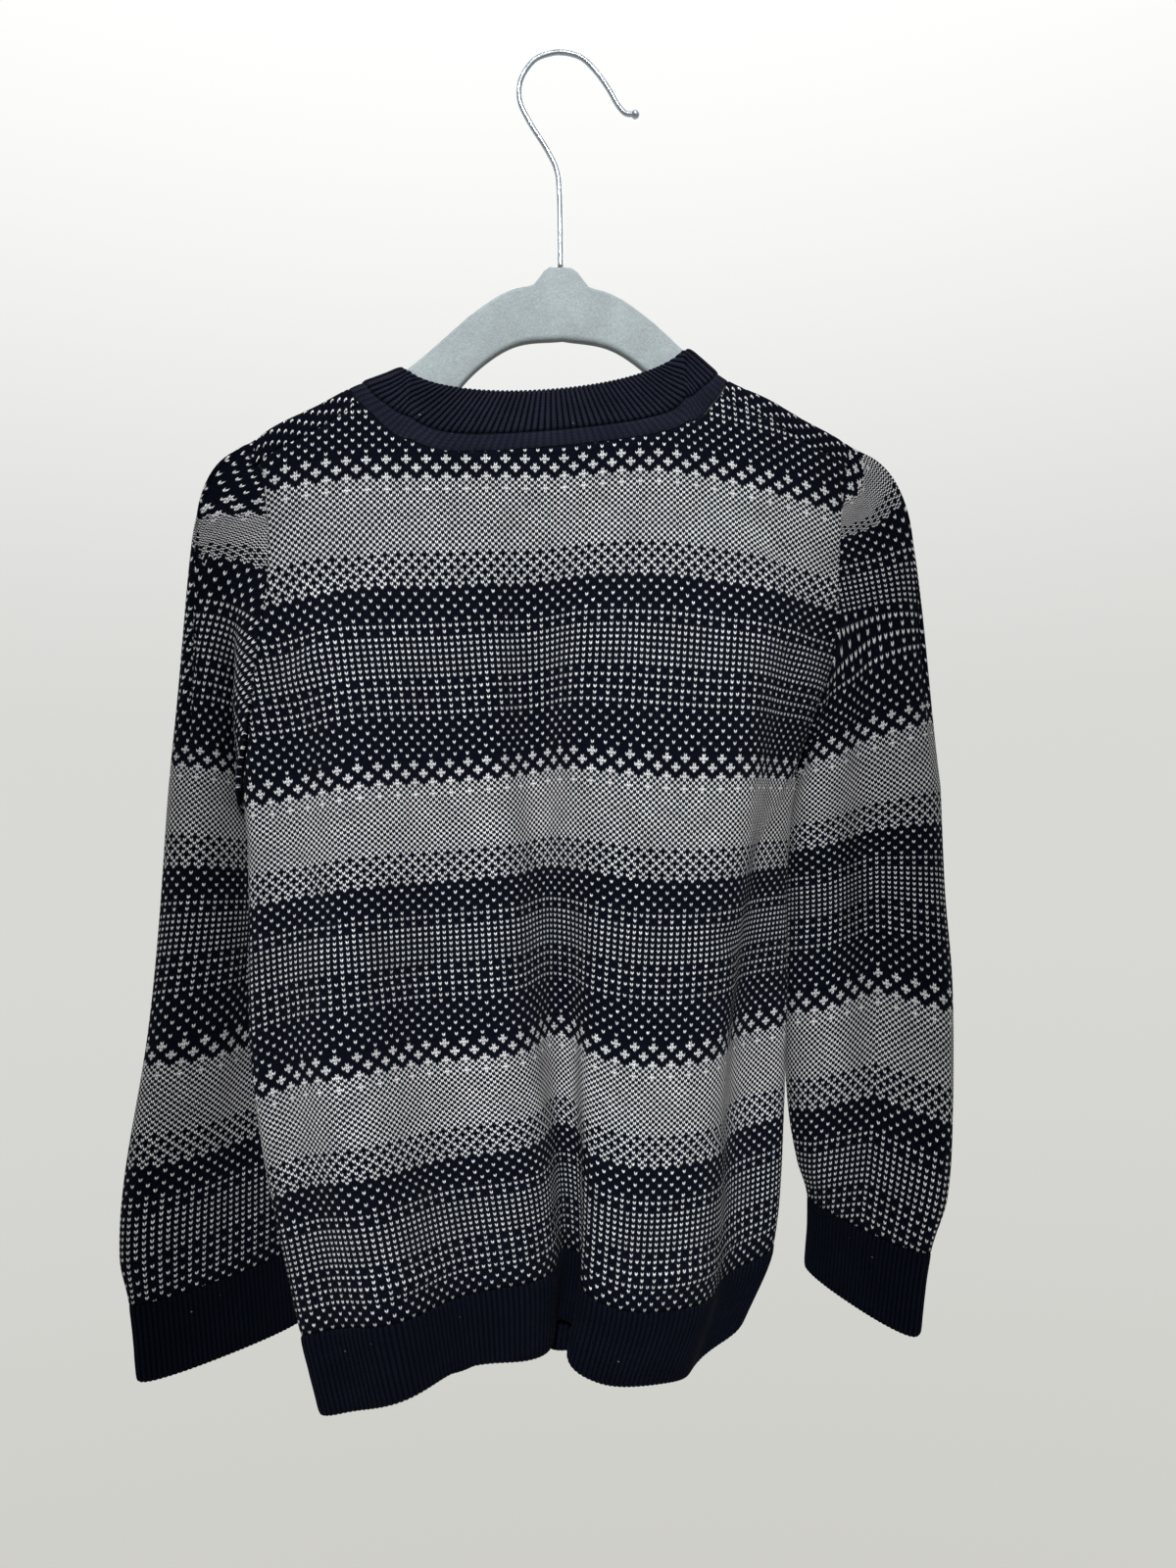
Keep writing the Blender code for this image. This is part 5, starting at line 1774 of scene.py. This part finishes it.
def hanger_section(x):
    """Rounded upright slice of the hanger at x."""
    top, bottom = hanger_edge(x, 1), hanger_edge(x, 2)
    near = abs(x - HANGER_X)
    inner, outer = (share * STUB_HALF for share in STUB_SLOPE)
    top += (STUB_TOP - top) * (1 - smoothstep((near - inner) / (outer - inner)))
    half = HANGER_THICK / 2 * math.sqrt(min(1.0, (HANGER_END - near) / END_TAPER + END_BLUNT))
    ring = []
    for middle, start in ((top - half, 0), (bottom + half, 180)):
        for k in range(CORNER_STEPS + 1):
            angle = math.radians(start + 180 * k / CORNER_STEPS)
            ring.append(Vector((x, half * math.cos(angle), middle + half * math.sin(angle))))
    return ring


def closed_loft(name, rings):
    """Closed mesh over rings of the same size, with flat ends."""
    size = len(rings[0])
    last = (len(rings) - 1) * size
    faces = [tuple(range(size)), tuple(reversed(range(last, last + size)))]
    for k in range(len(rings) - 1):
        for c in range(size):
            d = (c + 1) % size
            faces.append((k * size + c, (k + 1) * size + c, (k + 1) * size + d, k * size + d))
    mesh = bpy.data.meshes.new(name)
    mesh.from_pydata([point * MM for ring in rings for point in ring], [], faces)
    turn_outward(mesh)
    return mesh


def hanger_stations():
    """Places along the hanger, closer together near its ends."""
    xs = []
    for k in range(HANGER_STATIONS + 1):
        even, eased = 2 * k / HANGER_STATIONS - 1, -math.cos(math.pi * k / HANGER_STATIONS)
        xs.append(HANGER_X + (HANGER_END - END_STOP) * (0.5 * even + 0.5 * eased))
    return xs


hanger_rings = [hanger_section(x) for x in hanger_stations()]
flocked_hanger = dress(add_piece(closed_loft("hanger_flocked", hanger_rings), (FLOCK,)),
                       ["hanger_body"])
print("hanger:", len(hanger_rings), "slices")

# %% [markdown]
# ## The hook
#
# A 3 mm wire, bent in one turn and ended with a small bead so that it doesn't scratch. A
# curve with a round bevel would do, but a loft along the same smooth curve gives points for the
# bead too: the rings simply grow and close at the tip.

# %% Make the wire's steel
STEEL_DARK, STEEL_LIGHT = (0.50, 0.57, 0.63, 1), (0.66, 0.73, 0.79, 1)
DRAWN_SCALE = 220.0
NO_BLOOM = (1, 1, 1, 1)


def make_wire():
    material, tree, shader = start_material("bright wire", 0.24, 0.0, NO_BLOOM)
    shader.inputs["Metallic"].default_value = 1.0
    places = tree.nodes.new("ShaderNodeTexCoord").outputs["Object"]
    drawn = add_noise(tree, places, DRAWN_SCALE, 3.0)["Fac"]
    color = blend_colors(tree, drawn, STEEL_DARK, STEEL_LIGHT)
    tree.links.new(color, shader.inputs["Base Color"])
    tree.links.new(ranged(tree, drawn, 0.3, 0.7, 0.18, 0.32), shader.inputs["Roughness"])
    return material


WIRE_STEEL = make_wire()
print("built", WIRE_STEEL.name)

# %% Bend the hook
HOOK = (
        # x, z along the wire
        (-7, -121), (-6.5, -100), (-6.3, -80), (-7.2, -66), (-12, -54.5), (-21, -39), (-25.8, -27),
        (-24.6, -15), (-17.5, -4), (-8, 0.8), (0, 1.5), (8.5, -1), (16, -8.5), (22, -17.5),
        (26.5, -26), (30.5, -30.8), (35, -31.4))
WIRE = 3.0
HOOK_BALL = 2.4           # the bead's radius
BALL_PAST = 1.0           # how far its middle lies past the wire's end
BALL_OPEN = 0.12          # angle at which its last ring closes flat
HOOK_STEPS = 12
WIRE_SIDES = 20
BALL_STEPS = 10
DEPTH = Vector((0, 1, 0))


def hook_path():
    knots = list(range(len(HOOK)))
    values = [Vector((x, 0, z)) for x, z in HOOK]
    values[0].z = STUB_TOP + GAP
    return [spline(knots, values, at) for at in evenly(0, knots[-1], HOOK_STEPS * knots[-1])]


def wire_ring(place, along, radius):
    aside = along.cross(DEPTH).normalized()
    ring = []
    for k in range(WIRE_SIDES):
        angle = 2 * math.pi * k / WIRE_SIDES
        ring.append(place + (aside * math.cos(angle) + DEPTH * math.sin(angle)) * radius)
    return ring


def bend_hook():
    path = hook_path()
    rings = []
    for k, place in enumerate(path):
        along = (path[min(k + 1, len(path) - 1)] - path[max(k - 1, 0)]).normalized()
        rings.append(wire_ring(place, along, WIRE / 2))
    tip = Vector((HOOK[-1][0] + BALL_PAST, 0, HOOK[-1][1]))
    along = (path[-1] - path[-2]).normalized()
    start = math.asin(WIRE / 2 / HOOK_BALL)
    clear = HOOK_BALL * math.cos(start)
    rings = [ring for ring, place in zip(rings, path) if (place - tip).length > clear]
    for angle in evenly(start, math.pi - BALL_OPEN, BALL_STEPS):
        centre = tip - along * (HOOK_BALL * math.cos(angle))
        rings.append(wire_ring(centre, along, HOOK_BALL * math.sin(angle)))
    return closed_loft("hook_wire", rings)


wire_hook = dress(add_piece(bend_hook(), (WIRE_STEEL,)), ["hanger_hook"])
print("hook:", len(wire_hook.data.polygons), "faces")

# %% [markdown]
# ## Light and ground
#
# The light in the picture is soft. It comes from above and from the camera's side, brightest
# on the middle of the back, and the sleeves lie in shade. A pale sky does most of the work
# here, dimmer behind the viewer than behind the sweater. A tall strip lamp above the camera has
# a narrow beam, so that the sleeves hang in its edge, and two wide lamps, in front and behind,
# keep the shade soft. The ground is a plain pale disc, far enough down for the sweater to be
# seen from every side.

# %% The pale sky
ROOM_TOP = (1.10, 1.10, 1.095, 1)
ROOM_MIDDLE = (0.69, 0.69, 0.67, 1)
ROOM_LOW = (0.60, 0.595, 0.55, 1)
FRONT_DIM = 0.36          # brightness behind the viewer, against that behind the sweater


def make_room():
    world = bpy.data.worlds.new("pale room")
    bpy.context.scene.world = world
    world.use_nodes = True
    tree = world.node_tree
    place = tree.nodes.new("ShaderNodeTexCoord")
    parts = tree.nodes.new("ShaderNodeSeparateXYZ")
    tree.links.new(place.outputs["Generated"], parts.inputs[0])
    ramp = tree.nodes.new("ShaderNodeValToRGB")
    ramp.color_ramp.interpolation = "EASE"
    stops = ramp.color_ramp.elements
    stops[0].position, stops[0].color = 0.12, ROOM_LOW
    stops[1].position, stops[1].color = 0.92, ROOM_TOP
    stops.new(0.55).color = ROOM_MIDDLE
    tree.links.new(ranged(tree, parts.outputs["Z"], -1.0, 1.0, 0.0, 1.0), ramp.inputs[0])
    dim = ranged(tree, parts.outputs["Y"], -0.3, 0.6, FRONT_DIM, 1.0)
    color = blend_colors(tree, 1.0, ramp.outputs["Color"], dim, "MULTIPLY")
    tree.links.new(color, tree.nodes["Background"].inputs["Color"])
    tree.nodes["Background"].inputs["Strength"].default_value = 1.0
    return world


room = make_room()
print("sky:", room.name)

# %% Lamps and floor
LAMPS = (
    # name     place (m)              power   width   height  spread (degrees), aim
    ("key",   (-0.20, -1.50, 0.55),   1.18,   0.32,   0.95,      7,  (-0.015, 0, -0.38)),
    ("fill",  (0.50, -1.50, 0.30),    2.50,   1.00,   1.00,    180,  (0, 0, -0.40)),
    ("rear",  (0.20, 1.50, 0.60),     9.00,   1.20,   1.20,    180,  (0, 0, -0.35)),
)
FLOOR_COLOR = (0.60, 0.595, 0.565, 1)


def hang_lamp(name, place, power, width, height, spread, aim):
    lamp = bpy.data.lights.new(name, "AREA")
    lamp.shape, lamp.size, lamp.size_y = "RECTANGLE", width, height
    lamp.energy, lamp.spread = power, math.radians(spread)
    item = bpy.data.objects.new(name, lamp)
    item.location = place
    item.rotation_euler = (Vector(aim) - Vector(place)).to_track_quat("-Z", "Y").to_euler()
    bpy.context.scene.collection.objects.link(item)
    return item


def lay_floor(z=-1.30, radius=0.8, sides=96):
    shape = bmesh.new()
    bmesh.ops.create_circle(shape, cap_ends=True, segments=sides, radius=radius)
    mesh = bpy.data.meshes.new("floor")
    shape.to_mesh(mesh)
    shape.free()
    material, _, shader = start_material("pale floor", 0.7, 0.0, NO_BLOOM)
    shader.inputs["Base Color"].default_value = FLOOR_COLOR
    mesh.materials.append(material)
    floor = bpy.data.objects.new("floor", mesh)
    floor.location.z = z
    bpy.context.scene.collection.objects.link(floor)
    return floor


lamps = [hang_lamp(*row) for row in LAMPS]
floor = lay_floor()
bpy.context.scene.view_settings.view_transform = "Standard"
print("lamps:", ", ".join(lamp.name for lamp in lamps))
